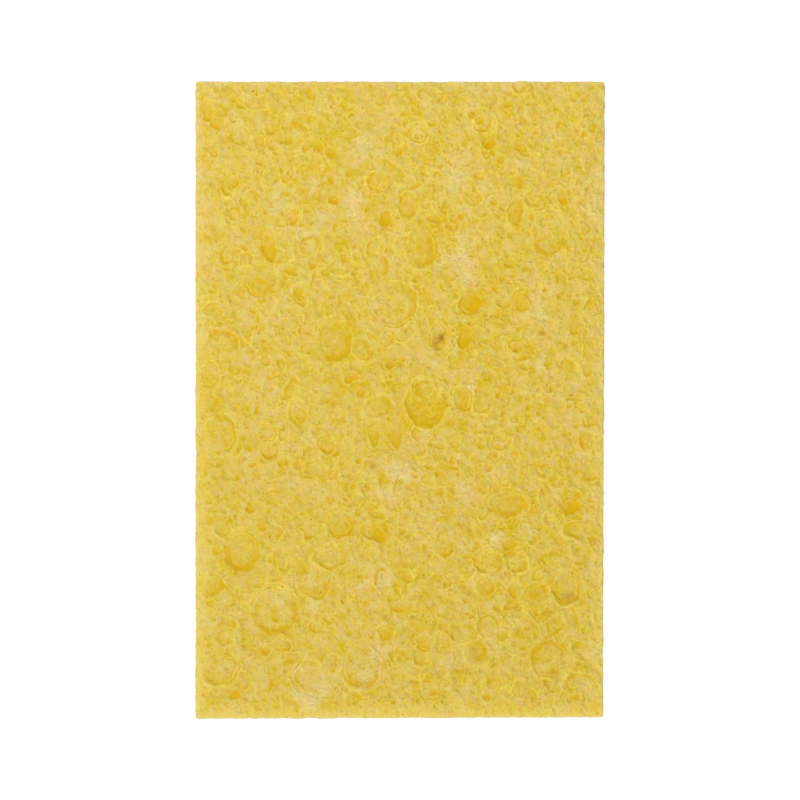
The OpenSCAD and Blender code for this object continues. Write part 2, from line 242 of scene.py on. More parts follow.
# Small pores whose golden floors show, from the far end to the near end: x, y, half width, half
# length
small_pores = [
    (-16.0, 53.3, 0.9, 0.5), (-11.7, 50.7, 0.5, 0.5), (-9.5, 51.0, 0.9, 0.5), (-27.5, 50.5, 1.0, 0.4),
    (-33.3, 48.5, 0.7, 0.7), (-21.5, 49.7, 0.7, 0.3), (-14.7, 48.6, 0.4, 0.4), (-15.4, 46.7, 0.4, 0.4),
    (-9.8, 46.6, 0.5, 0.5), (-8.0, 46.5, 0.6, 0.4), (-20.0, 47.0, 0.7, 0.4), (-31.5, 47.5, 0.6, 0.5),
    (-16.3, 43.4, 0.7, 0.7), (-22.2, 43.5, 0.6, 0.6), (-12.0, 38.0, 0.7, 1.0), (-30.8, 37.8, 0.6, 0.4),
    (-24.3, 36.8, 0.5, 0.5), (-22.5, 36.3, 0.5, 0.6), (-25.2, 35.9, 0.6, 0.4), (-18.8, 37.3, 0.5, 0.5),
    (-5.4, 35.0, 0.5, 0.7), (-5.5, 33.0, 0.5, 0.8), (-3.0, 34.2, 0.4, 0.4), (-23.3, 32.4, 0.5, 0.6),
    (-16.4, 32.7, 0.5, 0.5), (-17.9, 32.5, 0.6, 0.6), (-16.8, 30.2, 0.8, 0.4), (-9.6, 31.0, 0.7, 0.5),
    (-15.1, 31.8, 0.4, 0.4), (-26.9, 29.5, 0.6, 0.6), (-26.8, 26.3, 0.9, 0.4), (-30.2, 26.1, 0.6, 0.3),
    (-33.3, 28.5, 1.1, 0.4), (-10.9, 27.2, 0.5, 0.5), (-9.5, 24.5, 0.6, 0.9), (-20.8, 23.9, 0.6, 0.7),
    (-19.9, 21.3, 0.5, 0.9), (-18.5, 22.3, 0.5, 0.6), (-12.6, 22.2, 0.8, 0.7), (-8.0, 22.0, 0.6, 0.6),
    (-30.1, 22.8, 0.7, 0.5), (-23.9, 20.4, 1.6, 0.6), (-32.5, 18.8, 0.6, 0.6), (-14.2, 18.8, 0.4, 0.4),
    (2.5, 50.0, 0.6, 0.3), (5.7, 47.5, 0.7, 0.5), (0.0, 43.0, 0.6, 0.9), (7.2, 45.2, 0.4, 0.7),
    (11.0, 44.3, 0.8, 0.5), (13.3, 44.1, 0.5, 0.5), (14.5, 42.8, 0.6, 0.4), (18.8, 45.7, 0.4, 0.6),
    (20.2, 45.8, 0.4, 0.4), (20.8, 43.3, 1.3, 0.6), (22.5, 43.9, 0.9, 0.5), (21.5, 42.4, 1.0, 0.4),
    (25.3, 43.5, 0.6, 0.4), (23.5, 46.0, 0.7, 0.4), (27.2, 44.0, 0.4, 0.4), (26.8, 50.3, 0.8, 0.5),
    (29.0, 50.6, 0.8, 0.4), (31.7, 51.7, 0.7, 0.7), (30.2, 51.9, 0.5, 0.5), (32.2, 49.2, 0.5, 0.4),
    (30.5, 46.5, 0.5, 0.5), (31.8, 45.8, 0.6, 0.6), (22.8, 48.9, 0.4, 0.4), (18.9, 49.2, 0.4, 0.4),
    (20.0, 48.3, 0.5, 0.5), (25.8, 52.0, 0.6, 0.4), (28.8, 49.0, 0.4, 0.4), (1.0, 52.5, 0.8, 0.6),
    (9.4, 53.1, 1.4, 0.4), (33.0, 53.8, 0.8, 0.4), (13.6, 48.2, 0.8, 0.8), (7.0, 40.5, 0.4, 0.7),
    (9.5, 40.2, 0.5, 0.3), (2.7, 37.0, 1.2, 0.5), (17.2, 41.3, 0.5, 0.5), (17.6, 39.2, 0.8, 0.5),
    (13.4, 35.3, 0.4, 0.8), (16.3, 34.0, 0.8, 0.8), (17.0, 31.8, 0.4, 0.7), (9.3, 31.0, 0.9, 0.6),
    (22.5, 31.5, 0.5, 0.5), (28.5, 39.3, 0.3, 0.6), (27.5, 37.4, 0.5, 0.5), (31.0, 34.0, 0.8, 0.4),
    (22.0, 28.5, 0.4, 0.7), (24.3, 27.6, 0.7, 0.5), (26.2, 25.6, 1.0, 0.5), (7.1, 29.4, 0.6, 0.7),
    (17.0, 28.6, 0.5, 0.6), (18.9, 28.5, 0.5, 0.7), (29.0, 26.5, 0.5, 0.5), (31.8, 25.7, 0.7, 0.4),
    (20.7, 24.3, 0.5, 0.5), (14.0, 24.3, 0.4, 0.4), (16.0, 22.5, 0.4, 0.5), (17.5, 20.9, 0.5, 0.6),
    (16.3, 19.3, 0.7, 0.6), (18.7, 18.8, 0.5, 0.5), (9.0, 20.7, 0.7, 0.4), (4.3, 18.7, 0.6, 1.0),
    (24.0, 23.6, 0.8, 0.4), (28.3, 24.2, 0.6, 0.3), (31.2, 28.8, 0.6, 0.4), (34.0, 24.8, 0.5, 0.4),
    (11.8, 18.9, 0.5, 0.3), (-33.7, 15.8, 0.9, 0.4), (-28.5, 14.5, 0.5, 0.3), (-30.3, 14.2, 0.7, 0.3),
    (-12.8, 16.5, 0.4, 0.9), (-5.7, 14.8, 0.3, 0.8), (-9.0, 13.2, 0.7, 0.5), (-10.6, 14.0, 0.5, 0.5),
    (-24.0, 12.0, 0.4, 0.9), (-26.0, 11.1, 0.6, 0.6), (-28.0, 11.7, 0.4, 0.4), (-22.8, 9.0, 1.0, 0.3),
    (-25.3, 8.5, 0.4, 0.6), (-3.7, 8.7, 0.5, 0.6), (-5.2, 8.0, 0.4, 0.7), (-21.3, 4.1, 0.6, 0.6),
    (-18.6, 3.7, 0.5, 0.7), (-12.8, 3.2, 0.6, 0.4), (-8.5, 3.8, 1.3, 0.8), (-10.0, 2.6, 0.6, 0.6),
    (-6.8, 1.2, 0.9, 0.9), (-1.7, 4.3, 0.4, 0.4), (-2.0, 3.0, 0.6, 0.5), (-22.5, 2.0, 0.7, 0.4),
    (-20.1, 0.6, 0.7, 0.6), (-11.3, -0.5, 0.7, 0.8), (-28.3, -1.4, 0.5, 0.8), (-33.8, -2.9, 0.5, 0.9),
    (-1.9, -3.2, 0.5, 0.5), (-22.0, -3.8, 0.6, 0.4), (-26.3, -8.2, 0.7, 0.9), (-4.0, -8.5, 0.6, 0.4),
    (-25.4, -11.2, 0.8, 0.5), (-20.6, -10.8, 0.6, 0.8), (-33.6, -12.3, 0.4, 0.9), (-32.0, -13.2, 0.6, 0.6),
    (-15.8, -13.2, 1.2, 0.4), (-13.3, -13.7, 0.5, 0.4), (-8.0, -14.8, 0.6, 1.1), (-10.0, -11.0, 0.6, 0.4),
    (-7.1, -10.3, 0.6, 0.6), (-3.3, -14.3, 0.4, 0.6), (-11.1, -13.4, 0.4, 0.4), (-29.3, -18.3, 0.6, 0.5),
    (-21.5, -17.9, 0.4, 0.9), (-12.5, -17.0, 0.5, 0.5), (-9.5, -17.0, 0.7, 0.4), (-33.0, -17.5, 0.8, 0.6),
    (-15.5, -10.8, 0.8, 0.4), (4.2, 15.5, 0.4, 1.0), (0.5, 7.0, 0.6, 0.7), (7.7, 8.9, 0.4, 0.7),
    (10.2, 8.3, 0.6, 0.5), (20.8, 13.7, 0.4, 0.4), (14.7, 13.0, 0.3, 0.8), (17.5, 13.0, 0.8, 0.3),
    (22.0, 13.0, 0.4, 0.4), (24.6, 11.6, 0.6, 0.4), (30.5, 17.0, 0.6, 0.8), (18.0, 15.9, 0.5, 0.5),
    (25.5, 6.1, 0.5, 0.7), (26.5, 7.0, 0.7, 0.3), (21.0, 7.3, 0.4, 0.7), (15.0, 3.6, 0.8, 0.5),
    (17.5, 3.8, 0.6, 0.3), (13.0, 1.9, 0.4, 0.6), (17.0, 1.0, 0.5, 0.8), (19.3, 1.3, 0.7, 0.4),
    (22.0, -1.2, 0.5, 0.7), (22.2, -2.6, 0.5, 0.5), (24.0, -2.2, 0.5, 0.6), (27.5, -0.3, 0.5, 0.3),
    (19.8, -3.2, 0.8, 0.4), (20.4, -5.0, 0.4, 0.7), (33.5, -0.3, 0.4, 0.6), (14.0, -7.8, 0.7, 0.7),
    (6.8, -7.9, 1.2, 0.5), (13.5, -5.5, 0.6, 0.5), (16.0, -5.6, 0.6, 0.4), (8.8, -11.5, 1.3, 0.4),
    (5.0, -11.5, 0.8, 0.5), (23.5, -11.0, 0.6, 0.8), (20.8, -12.3, 0.4, 0.8), (26.5, -13.5, 1.0, 0.5),
    (27.5, -10.7, 0.5, 0.6), (25.8, -9.7, 0.5, 0.3), (15.5, -11.8, 0.7, 0.6), (12.4, -14.4, 0.5, 0.4),
    (6.7, -15.8, 0.7, 0.6), (2.5, -17.0, 0.4, 0.5), (21.7, -18.2, 0.5, 0.8), (21.8, -15.5, 0.3, 0.6),
    (24.8, -16.0, 0.4, 0.8), (32.8, -16.5, 0.3, 0.8), (9.8, -16.8, 0.4, 0.5), (33.3, -9.0, 0.4, 0.4),
    (2.5, -13.0, 0.5, 0.5), (-32.2, -19.0, 0.9, 0.6), (-22.5, -18.9, 0.6, 0.6), (-16.8, -19.5, 0.6, 0.5),
    (-7.3, -19.3, 0.8, 0.9), (-29.8, -21.3, 0.4, 0.4), (-23.8, -22.0, 0.9, 0.8), (-32.0, -26.0, 0.7, 0.7),
    (-22.4, -27.5, 0.4, 0.8), (-5.7, -27.3, 0.9, 0.4), (-6.0, -25.3, 0.4, 0.4), (-2.0, -25.0, 0.6, 0.6),
    (-24.5, -32.0, 1.0, 0.5), (-30.0, -35.4, 0.5, 0.5), (-24.5, -35.5, 0.7, 0.6), (-21.5, -37.5, 0.7, 0.7),
    (-9.8, -34.5, 0.5, 0.8), (-6.2, -35.0, 0.4, 0.7), (-0.3, -36.2, 0.9, 0.5), (-29.4, -39.5, 0.7, 0.4),
    (-8.9, -40.2, 0.6, 0.5), (-30.8, -41.3, 0.6, 0.4), (-33.5, -41.0, 0.5, 0.5), (-23.2, -43.2, 0.8, 1.0),
    (-25.3, -43.3, 0.5, 0.5), (-19.2, -44.8, 0.9, 0.5), (-11.4, -46.3, 0.4, 0.8), (-10.3, -48.8, 0.6, 0.6),
    (-22.0, -48.8, 0.4, 1.6), (-19.8, -46.7, 0.5, 0.5), (-1.8, -50.7, 0.6, 0.4), (-21.3, -52.8, 0.8, 0.5),
    (-23.4, -51.5, 0.4, 0.6), (-24.3, -53.3, 0.6, 0.4), (-11.8, -53.5, 0.3, 0.7), (-5.8, -53.5, 0.5, 0.5),
    (-33.2, -50.6, 0.6, 0.3), (0.4, -22.5, 0.7, 0.7), (9.7, -21.3, 0.7, 0.5), (11.1, -21.2, 0.5, 0.4),
    (2.0, -18.5, 0.4, 0.7), (21.5, -21.0, 0.7, 0.4), (17.8, -22.2, 0.8, 0.4), (13.3, -24.8, 0.7, 0.4),
    (26.3, -23.3, 0.4, 0.9), (33.2, -23.8, 0.5, 0.9), (28.7, -27.0, 0.6, 0.4), (31.0, -28.0, 1.0, 0.6),
    (32.2, -28.8, 0.5, 0.4), (24.3, -28.5, 0.4, 0.8), (23.0, -30.3, 0.7, 0.4), (25.2, -26.7, 0.4, 0.6),
    (5.0, -30.0, 0.7, 0.3), (11.2, -34.5, 0.7, 0.6), (16.5, -35.7, 0.6, 0.7), (2.7, -36.5, 0.8, 0.4),
    (12.3, -37.2, 0.6, 0.4), (7.0, -38.5, 0.4, 0.8), (25.2, -36.8, 1.0, 0.4), (32.6, -35.5, 0.6, 0.4),
    (22.0, -39.2, 0.7, 0.5), (9.3, -40.5, 0.5, 0.8), (7.5, -42.2, 0.4, 0.6), (22.3, -40.8, 0.5, 0.5),
    (21.0, -42.8, 0.8, 0.5), (25.2, -40.8, 0.4, 1.0), (30.7, -45.5, 0.8, 0.4), (32.0, -47.5, 1.0, 0.4),
    (2.8, -46.5, 0.6, 0.6), (4.6, -48.3, 0.7, 0.5), (5.8, -50.3, 0.7, 0.6), (10.3, -49.2, 0.7, 0.5),
    (30.3, -51.0, 0.8, 0.5), (33.0, -52.0, 0.5, 0.5), (18.5, -52.5, 0.7, 0.5), (14.2, -52.8, 0.6, 0.5),
    (22.5, -53.0, 0.8, 0.4), (1.0, -52.5, 0.3, 0.9), (9.8, -53.0, 0.4, 0.6), (26.0, -50.0, 0.6, 0.4),
    (13.8, -46.5, 0.4, 0.5),
]

# Frayed patches, paler and pinker than the rest: x, y, half width, half length, whiteness
frayed = [
    (-26.8, 48.5, 1.0, 1.2, 0.5), (-28.5, 46.3, 0.9, 0.6, 0.6), (-14.3, 50.0, 1.5, 0.8, 0.5),
    (-7.0, 43.5, 1.8, 2.5, 0.7), (-22.0, 34.6, 0.8, 1.4, 0.7), (-20.0, 33.2, 1.2, 0.8, 0.6),
    (-8.5, 34.5, 1.2, 2.5, 0.7), (-9.0, 32.3, 1.4, 0.8, 0.8), (-14.5, 37.5, 0.7, 0.5, 0.8),
    (-16.5, 29.0, 2.5, 1.0, 0.7), (-19.5, 29.5, 0.8, 0.8, 0.8), (-27.2, 27.6, 0.8, 0.6, 0.7),
    (-5.5, 30.0, 1.5, 0.6, 0.5), (-20.0, 25.5, 0.8, 0.6, 0.6), (-9.8, 23.0, 0.8, 0.5, 0.6),
    (-4.2, 42.8, 0.6, 0.6, 0.7), (3.3, 46.3, 0.9, 0.8, 0.6), (5.5, 50.7, 1.2, 0.5, 0.5),
    (14.5, 53.3, 3.0, 1.0, 0.5), (9.0, 38.5, 2.0, 2.5, 0.8), (16.5, 36.0, 1.5, 2.0, 0.7),
    (21.5, 40.5, 2.0, 0.8, 0.7), (26.8, 46.5, 1.2, 1.0, 0.6), (28.0, 41.5, 1.2, 0.5, 0.5),
    (1.2, 33.0, 0.6, 0.6, 0.5), (10.5, 25.0, 2.0, 3.0, 0.9), (11.5, 21.5, 2.0, 1.5, 0.9),
    (8.0, 24.0, 1.2, 0.8, 0.7), (25.0, 29.0, 1.0, 1.5, 0.5), (34.0, 32.0, 1.2, 2.0, 0.5),
    (27.5, 19.0, 1.2, 0.8, 0.6), (33.5, 23.5, 1.0, 0.8, 0.5), (-22.0, 13.7, 1.0, 0.8, 0.9),
    (-21.5, 15.2, 1.5, 0.7, 0.6), (-4.5, 16.5, 0.8, 1.2, 0.6), (-11.0, 10.5, 1.0, 0.8, 0.5),
    (-24.5, 1.2, 1.2, 0.6, 0.6), (-15.5, 2.0, 1.5, 0.5, 0.5), (-19.0, -3.5, 0.8, 0.7, 0.6),
    (-23.0, -6.0, 0.8, 0.6, 0.6), (-12.5, -4.3, 0.8, 0.5, 0.6), (-15.5, -6.8, 0.8, 0.5, 0.5),
    (-1.0, -12.5, 1.5, 2.2, 0.8), (0.3, -13.0, 1.0, 0.5, 1.0), (-3.5, -16.0, 1.5, 1.0, 0.7),
    (-26.0, -12.0, 0.8, 1.5, 0.5), (-16.5, -14.5, 1.5, 0.6, 0.5), (-13.5, -16.5, 1.0, 1.0, 0.5),
    (-23.8, 7.5, 1.8, 1.0, 0.4), (12.1, 2.5, 0.3, 1.2, 1.3), (23.5, 14.5, 1.8, 1.2, 0.7),
    (24.3, 17.0, 0.8, 1.2, 0.7), (27.0, 12.5, 0.8, 0.6, 0.6), (24.3, 5.0, 0.8, 1.0, 0.6),
    (5.0, 8.5, 1.5, 0.8, 0.6), (10.5, 4.5, 1.0, 0.6, 0.6), (16.0, -3.8, 0.8, 0.5, 0.7),
    (17.7, -7.5, 0.5, 0.5, 0.8), (5.0, -6.2, 2.0, 0.8, 0.5), (11.0, -15.5, 1.5, 1.5, 0.7),
    (33.0, -16.5, 0.3, 0.8, 1.1), (10.0, -10.0, 0.8, 0.6, 0.6), (26.8, -16.5, 0.6, 0.5, 0.6),
    (-3.5, -31.0, 1.5, 1.8, 0.8), (-5.5, -28.0, 1.0, 0.8, 0.7), (-6.5, -32.5, 0.6, 1.0, 0.8),
    (-15.0, -35.5, 1.5, 0.8, 0.6), (-14.5, -31.5, 1.0, 0.7, 0.6), (-21.0, -34.5, 0.5, 1.2, 0.9),
    (-20.5, -37.0, 0.5, 0.7, 0.6), (-7.5, -38.0, 1.0, 0.8, 0.7), (-3.0, -38.5, 0.5, 0.4, 0.7),
    (-33.5, -38.0, 0.8, 1.0, 0.6), (-25.7, -38.5, 0.6, 0.8, 0.5), (-31.0, -34.5, 0.8, 0.5, 0.5),
    (-16.0, -51.0, 1.8, 0.8, 0.9), (-16.0, -52.5, 1.5, 0.4, 1.0), (-12.8, -50.5, 0.6, 0.5, 0.9),
    (-6.0, -47.5, 0.3, 1.2, 1.1), (-7.3, -47.0, 0.3, 1.2, 0.9), (-6.5, -49.0, 0.8, 0.3, 1.2),
    (-4.0, -43.8, 0.4, 1.3, 1.2), (-3.2, -46.5, 0.3, 1.3, 1.2), (-17.5, -46.2, 0.9, 0.4, 1.2),
    (-13.2, -49.0, 0.5, 0.9, 1.1), (-28.0, -52.5, 1.2, 0.6, 0.5), (-15.5, -44.0, 0.8, 0.4, 0.6),
    (-31.0, -46.0, 0.4, 1.0, 0.7), (16.5, -23.8, 0.9, 0.6, 1.0), (22.5, -22.8, 0.8, 0.6, 0.7),
    (26.5, -21.5, 0.6, 0.5, 0.6), (3.8, -20.5, 1.5, 1.0, 0.5), (12.5, -29.0, 1.2, 0.6, 0.6),
    (12.0, -39.5, 1.0, 1.2, 0.6), (8.0, -46.0, 0.8, 1.5, 0.6), (8.8, -50.5, 1.2, 1.0, 0.6),
    (18.3, -33.5, 0.6, 0.8, 0.7), (31.0, -43.0, 1.0, 0.4, 0.6), (24.5, -46.0, 0.8, 0.5, 0.5),
    (26.0, -45.0, 1.0, 0.4, 0.5), (33.0, -43.5, 1.0, 0.5, 0.5), (11.0, -52.0, 0.8, 0.8, 0.5),
    (5.5, -23.0, 2.0, 2.0, 0.4),
]

# Pores whose rims are torn and pale: x, y, half width, half length, bearing of the middle of the
# torn stretch and half its spread in degrees, whiteness
torn_rims = [
    (-6.2, -46.0, 2.9, 3.4, 10, 75, 1.0), (-7.0, -45.8, 2.6, 3.0, 200, 35, 0.7),
    (-15.8, -47.9, 2.4, 2.3, 150, 60, 0.9), (-15.8, -47.9, 2.5, 2.4, 20, 50, 0.8),
    (-15.9, -51.0, 2.6, 1.2, -90, 60, 0.8), (-21.5, -36.0, 3.4, 3.6, 60, 30, 0.5),
    (-8.6, 35.0, 1.3, 2.6, 170, 50, 0.5), (0.2, -12.6, 1.6, 1.8, 40, 50, 0.6),
    (6.8, 11.9, 1.2, 1.2, 90, 60, 0.5), (-3.6, -30.5, 1.6, 2.2, 10, 50, 0.5),
]

# Brown specks of bark that came in with the wood pulp: x, y, half width, half length, strength
brown_specks = [
    (6.7, 10.6, 0.8, 0.6, 1.0), (6.5, 9.9, 0.5, 0.6, 0.7), (6.4, 9.2, 0.4, 0.5, 0.4),
    (16.9, 28.5, 0.4, 0.3, 0.4), (24.7, 11.6, 0.4, 0.3, 0.4), (-1.8, 6.0, 0.5, 0.5, 0.12),
    (-5.0, -11.3, 0.3, 0.4, 0.5), (-22.6, -9.5, 0.6, 0.4, 0.3), (-3.3, -14.3, 0.4, 0.5, 0.3),
    (29.2, -34.0, 1.2, 0.6, 0.4), (26.5, -47.3, 0.7, 0.5, 0.35), (25.2, -36.9, 1.0, 0.4, 0.4),
    (10.8, -21.3, 0.5, 0.4, 0.4), (12.9, -43.8, 0.9, 0.9, 0.2), (33.2, -24.0, 0.4, 0.7, 0.3),
]

# Where the dye took more and where it took less. The first row of each list holds broad soft
# patches, and the rest run from the far end to the near end: x, y, half width, half length, strength
golden_patches = [
    (-20, 50, 8, 4, 0.07), (17, 16, 7, 16, 0.06), (15, -19, 9, 7, 0.06), (22, -30, 12, 8, 0.04),
    (-33, 49, 1, 1.5, 0.4), (-27.5, 50.8, 1.5, 0.8, 0.4), (-22, 46.2, 1.3, 0.8, 0.5),
    (-19, 45, 0.9, 1.3, 0.6), (-16, 52, 1.3, 2.5, 0.4), (-13, 43.5, 2.2, 1.8, 1),
    (-10.5, 46, 2.5, 1.2, 0.6), (-7, 46.5, 1.2, 0.8, 0.4), (-10, 51, 0.9, 0.9, 0.5),
    (-17.5, 38, 1.5, 3, 0.3), (-29, 37, 1.3, 1.5, 0.5), (-11.5, 34.3, 1.1, 1.1, 0.7),
    (-12, 37.5, 0.8, 1.2, 0.5), (-9, 39.3, 1, 0.8, 0.5), (-4, 37.5, 1.7, 1.2, 0.5),
    (-5.5, 34.5, 0.7, 2, 0.4), (-2.2, 31.2, 0.9, 1.3, 0.9), (2, 34, 1.5, 1.7, 0.4),
    (1.5, 49, 1.3, 1.8, 0.45), (9.5, 52, 1.2, 1.2, 0.4), (6.5, 47.5, 1.5, 1, 0.35),
    (5, 43.5, 1.7, 1.3, 0.45), (0, 43.3, 0.7, 0.9, 0.35), (15.3, 44.3, 1.5, 1.5, 1.2),
    (18.2, 51, 1.1, 1.3, 0.6), (21, 43.3, 1.8, 0.8, 0.5), (17.3, 40.2, 1.2, 1.3, 0.4),
    (20.5, 37, 1.3, 1.3, 0.5), (13.7, 38.5, 1, 1, 0.3), (7, 30.8, 1.5, 1.7, 1),
    (4.5, 27.5, 1.8, 2.2, 0.6), (16, 33, 1.2, 1.2, 0.4), (19.8, 31, 1, 2.6, 0.6),
    (26, 31.5, 0.9, 0.9, 0.35), (28, 34.5, 1, 1, 0.45), (30.5, 47, 1.5, 1.5, 0.35),
    (26.7, 26, 1, 1.7, 0.5), (-22.8, 27, 1, 2.3, 0.6), (-9.7, 26.5, 0.8, 1.7, 0.55),
    (-22.5, 25.5, 0.9, 1.5, 0.5), (-30, 22.7, 1, 0.8, 0.45), (-32, 18.2, 1.2, 0.9, 0.3),
    (-24.2, 20.2, 1.4, 0.8, 0.7), (-19.3, 21.7, 0.9, 1.5, 0.6), (-17.5, 18.2, 1, 1, 0.6),
    (-12.5, 23, 1, 1, 0.4), (-9.5, 25.5, 0.8, 1.2, 0.5), (-7.7, 21.8, 1, 1, 0.5),
    (-6, 17, 0.9, 3, 0.35), (-11.5, 12.8, 2, 1.2, 0.8), (-9, 11, 1, 3, 0.9),
    (-9.3, 7, 1.3, 1.3, 1.2), (-11.8, 7, 1.5, 0.9, 0.7), (-7.7, 2.5, 2, 1.6, 0.8),
    (-11.2, -0.5, 1, 1, 0.5), (-1.7, 6, 1.2, 1, 0.8), (-5, 7, 1.6, 1.6, 0.4),
    (-32.2, 4, 1.3, 1.5, 0.7), (-33, -1, 1.3, 2, 0.55), (-28.7, 11, 1.3, 1, 0.35),
    (-24.5, 8.3, 1.2, 1, 0.3), (-18, 3.5, 0.9, 1.5, 0.4), (3, 23, 1.5, 1.8, 0.5),
    (5.5, 26, 1, 1.5, 0.5), (4.5, 18, 1.1, 1.1, 0.6), (12.3, 16.3, 2, 1.9, 1.5),
    (11, 10.5, 1.1, 1.9, 1.3), (6.8, 10.5, 1.2, 1, 0.7), (14.5, 10.5, 2, 3, 0.35),
    (17, 21, 1.1, 2, 0.6), (19, 23.7, 1.5, 1, 0.5), (20.8, 16.5, 1.3, 1.2, 0.5),
    (20.7, 9.3, 2, 1.2, 0.5), (29.9, 11.7, 1, 1, 0.45), (32.8, 9, 1, 1.8, 0.35),
    (2.5, 1.5, 1.5, 1.8, 0.8), (4.5, -1.5, 3, 2.2, 0.9), (7.5, -0.5, 1.2, 1, 0.8),
    (10, 1.5, 0.8, 1.2, 0.6), (11.5, -0.7, 1.2, 1, 0.8), (15.3, 3, 1.5, 1.3, 0.6),
    (17.5, 1.2, 1.5, 1, 0.45), (-1.7, 1.5, 0.9, 2, 0.4), (-28.7, -6, 1, 2.3, 0.6),
    (-25.5, -7.7, 1, 1, 0.35), (-18, -3.8, 1.2, 0.9, 0.55), (-13, -8.6, 1.1, 0.9, 0.6),
    (-15.2, -13.3, 1.7, 0.8, 0.5), (-4.5, -6.3, 1.1, 1.5, 0.9), (-1, -6.5, 1.1, 1.5, 0.9),
    (4, -4.1, 2.8, 1.1, 1.2), (7.5, -7.8, 1.3, 1, 0.4), (8, -11.7, 2, 0.8, 0.45),
    (14, -8.3, 0.9, 1.1, 0.55), (19, -6.3, 1, 1, 0.35), (26.5, -13.3, 1.3, 1, 0.5),
    (27, -9.3, 1, 1, 0.3), (23.5, -2.5, 1.5, 1, 0.35), (32.5, -13, 1.5, 0.8, 0.3),
    (29.6, -18.5, 1.4, 1.7, 1.3), (18, -17, 1.7, 1.7, 0.6), (22.5, -18, 1, 1.3, 0.5),
    (19.5, -20, 1, 0.9, 0.7), (19, -23, 0.9, 2, 0.8), (19, -25.5, 1.6, 1, 1.1),
    (6.7, -15.5, 0.9, 0.9, 0.45), (-7, -16, 1.8, 2.5, 0.3), (-3.7, -19.5, 0.8, 1.4, 0.7),
    (-4, -23, 1.9, 1.2, 1.3), (-9.3, -22, 1, 1.5, 0.75), (-11.5, -22.8, 1.3, 0.8, 0.5),
    (-15.5, -23.5, 1, 1, 0.5), (-16.3, -18.8, 1.2, 0.9, 0.35), (-21.5, -18.5, 0.9, 1.2, 0.4),
    (-32.3, -19, 1.1, 0.8, 0.4), (-29, -18.3, 1, 0.8, 0.3), (-32, -14, 1.2, 1.3, 0.4),
    (-23.5, -21.7, 1.5, 0.9, 0.5), (-26, -24, 0.9, 1.8, 0.7), (-30, -27.5, 1.2, 1.5, 0.8),
    (-27, -29, 1.8, 1, 0.8), (-24.8, -26.5, 0.8, 1.2, 0.4), (8.5, -26.2, 1.2, 1.2, 0.6),
    (27, -23, 1.2, 2.2, 0.45), (33, -23.5, 0.8, 1.5, 0.4), (24.5, -26.5, 2, 1.3, 0.4),
    (31, -29, 1, 1, 0.5), (-32.3, -32, 1.1, 1.1, 0.5), (-14.7, -33.2, 2, 0.7, 0.6),
    (-12.3, -32, 0.8, 1.2, 0.4), (-21, -37.8, 1, 1.2, 0.5), (-17.5, -37, 1, 1.8, 0.4),
    (-18.8, -39.5, 1.5, 0.7, 0.4), (-23, -43, 1.6, 1.2, 0.9), (-19, -44, 1, 1.8, 0.6),
    (-22, -48.5, 0.9, 2.2, 0.5), (-28.5, -50.7, 1.5, 0.9, 0.8), (-21, -52.5, 1.3, 0.9, 0.3),
    (-10, -34.8, 1.2, 0.9, 0.3), (-12.3, -42.5, 0.8, 1.3, 0.3), (1.2, -30.8, 1.7, 1.1, 1),
    (0, -29, 1.2, 1.3, 0.6), (-1.8, -33.5, 0.9, 1.3, 0.45), (2, -36.3, 2.3, 1, 0.7),
    (4.2, -39, 1, 1.5, 0.6), (4, -42, 1.1, 1.2, 1), (6.5, -39, 1, 1, 0.4),
    (-2.2, -40.6, 1.2, 1, 0.7), (5, -48, 1.2, 2, 0.7), (-8, -51.9, 1.3, 0.9, 0.6),
    (-4.5, -49.5, 1, 0.8, 0.35), (10, -40, 0.9, 0.9, 0.4), (13, -42.3, 1.2, 1.2, 0.4),
    (15.7, -47.3, 1, 1.5, 0.55), (10.5, -48.8, 1, 0.7, 0.3), (15, -32.7, 1.2, 0.9, 0.5),
    (19.3, -33, 0.9, 1.3, 0.8), (18.5, -35.7, 2, 0.9, 0.6), (23.3, -33.7, 1.4, 1, 0.8),
    (23.5, -30, 1.3, 1, 0.45), (26, -32.5, 1.2, 1.1, 0.7), (29.5, -33.7, 1.5, 0.9, 0.7),
    (25, -37, 1.5, 1, 0.9), (22, -36, 1.2, 1.5, 0.5), (22, -42, 1.5, 2, 0.5),
    (28.5, -42, 1, 1.5, 0.5), (23.5, -45, 1, 1.2, 0.6), (26.5, -47.7, 1.3, 2, 0.55),
    (31, -46.3, 1.5, 1, 0.5), (18.5, -52.4, 0.8, 0.8, 0.35), (22.5, -52.5, 1, 0.7, 0.35),
]
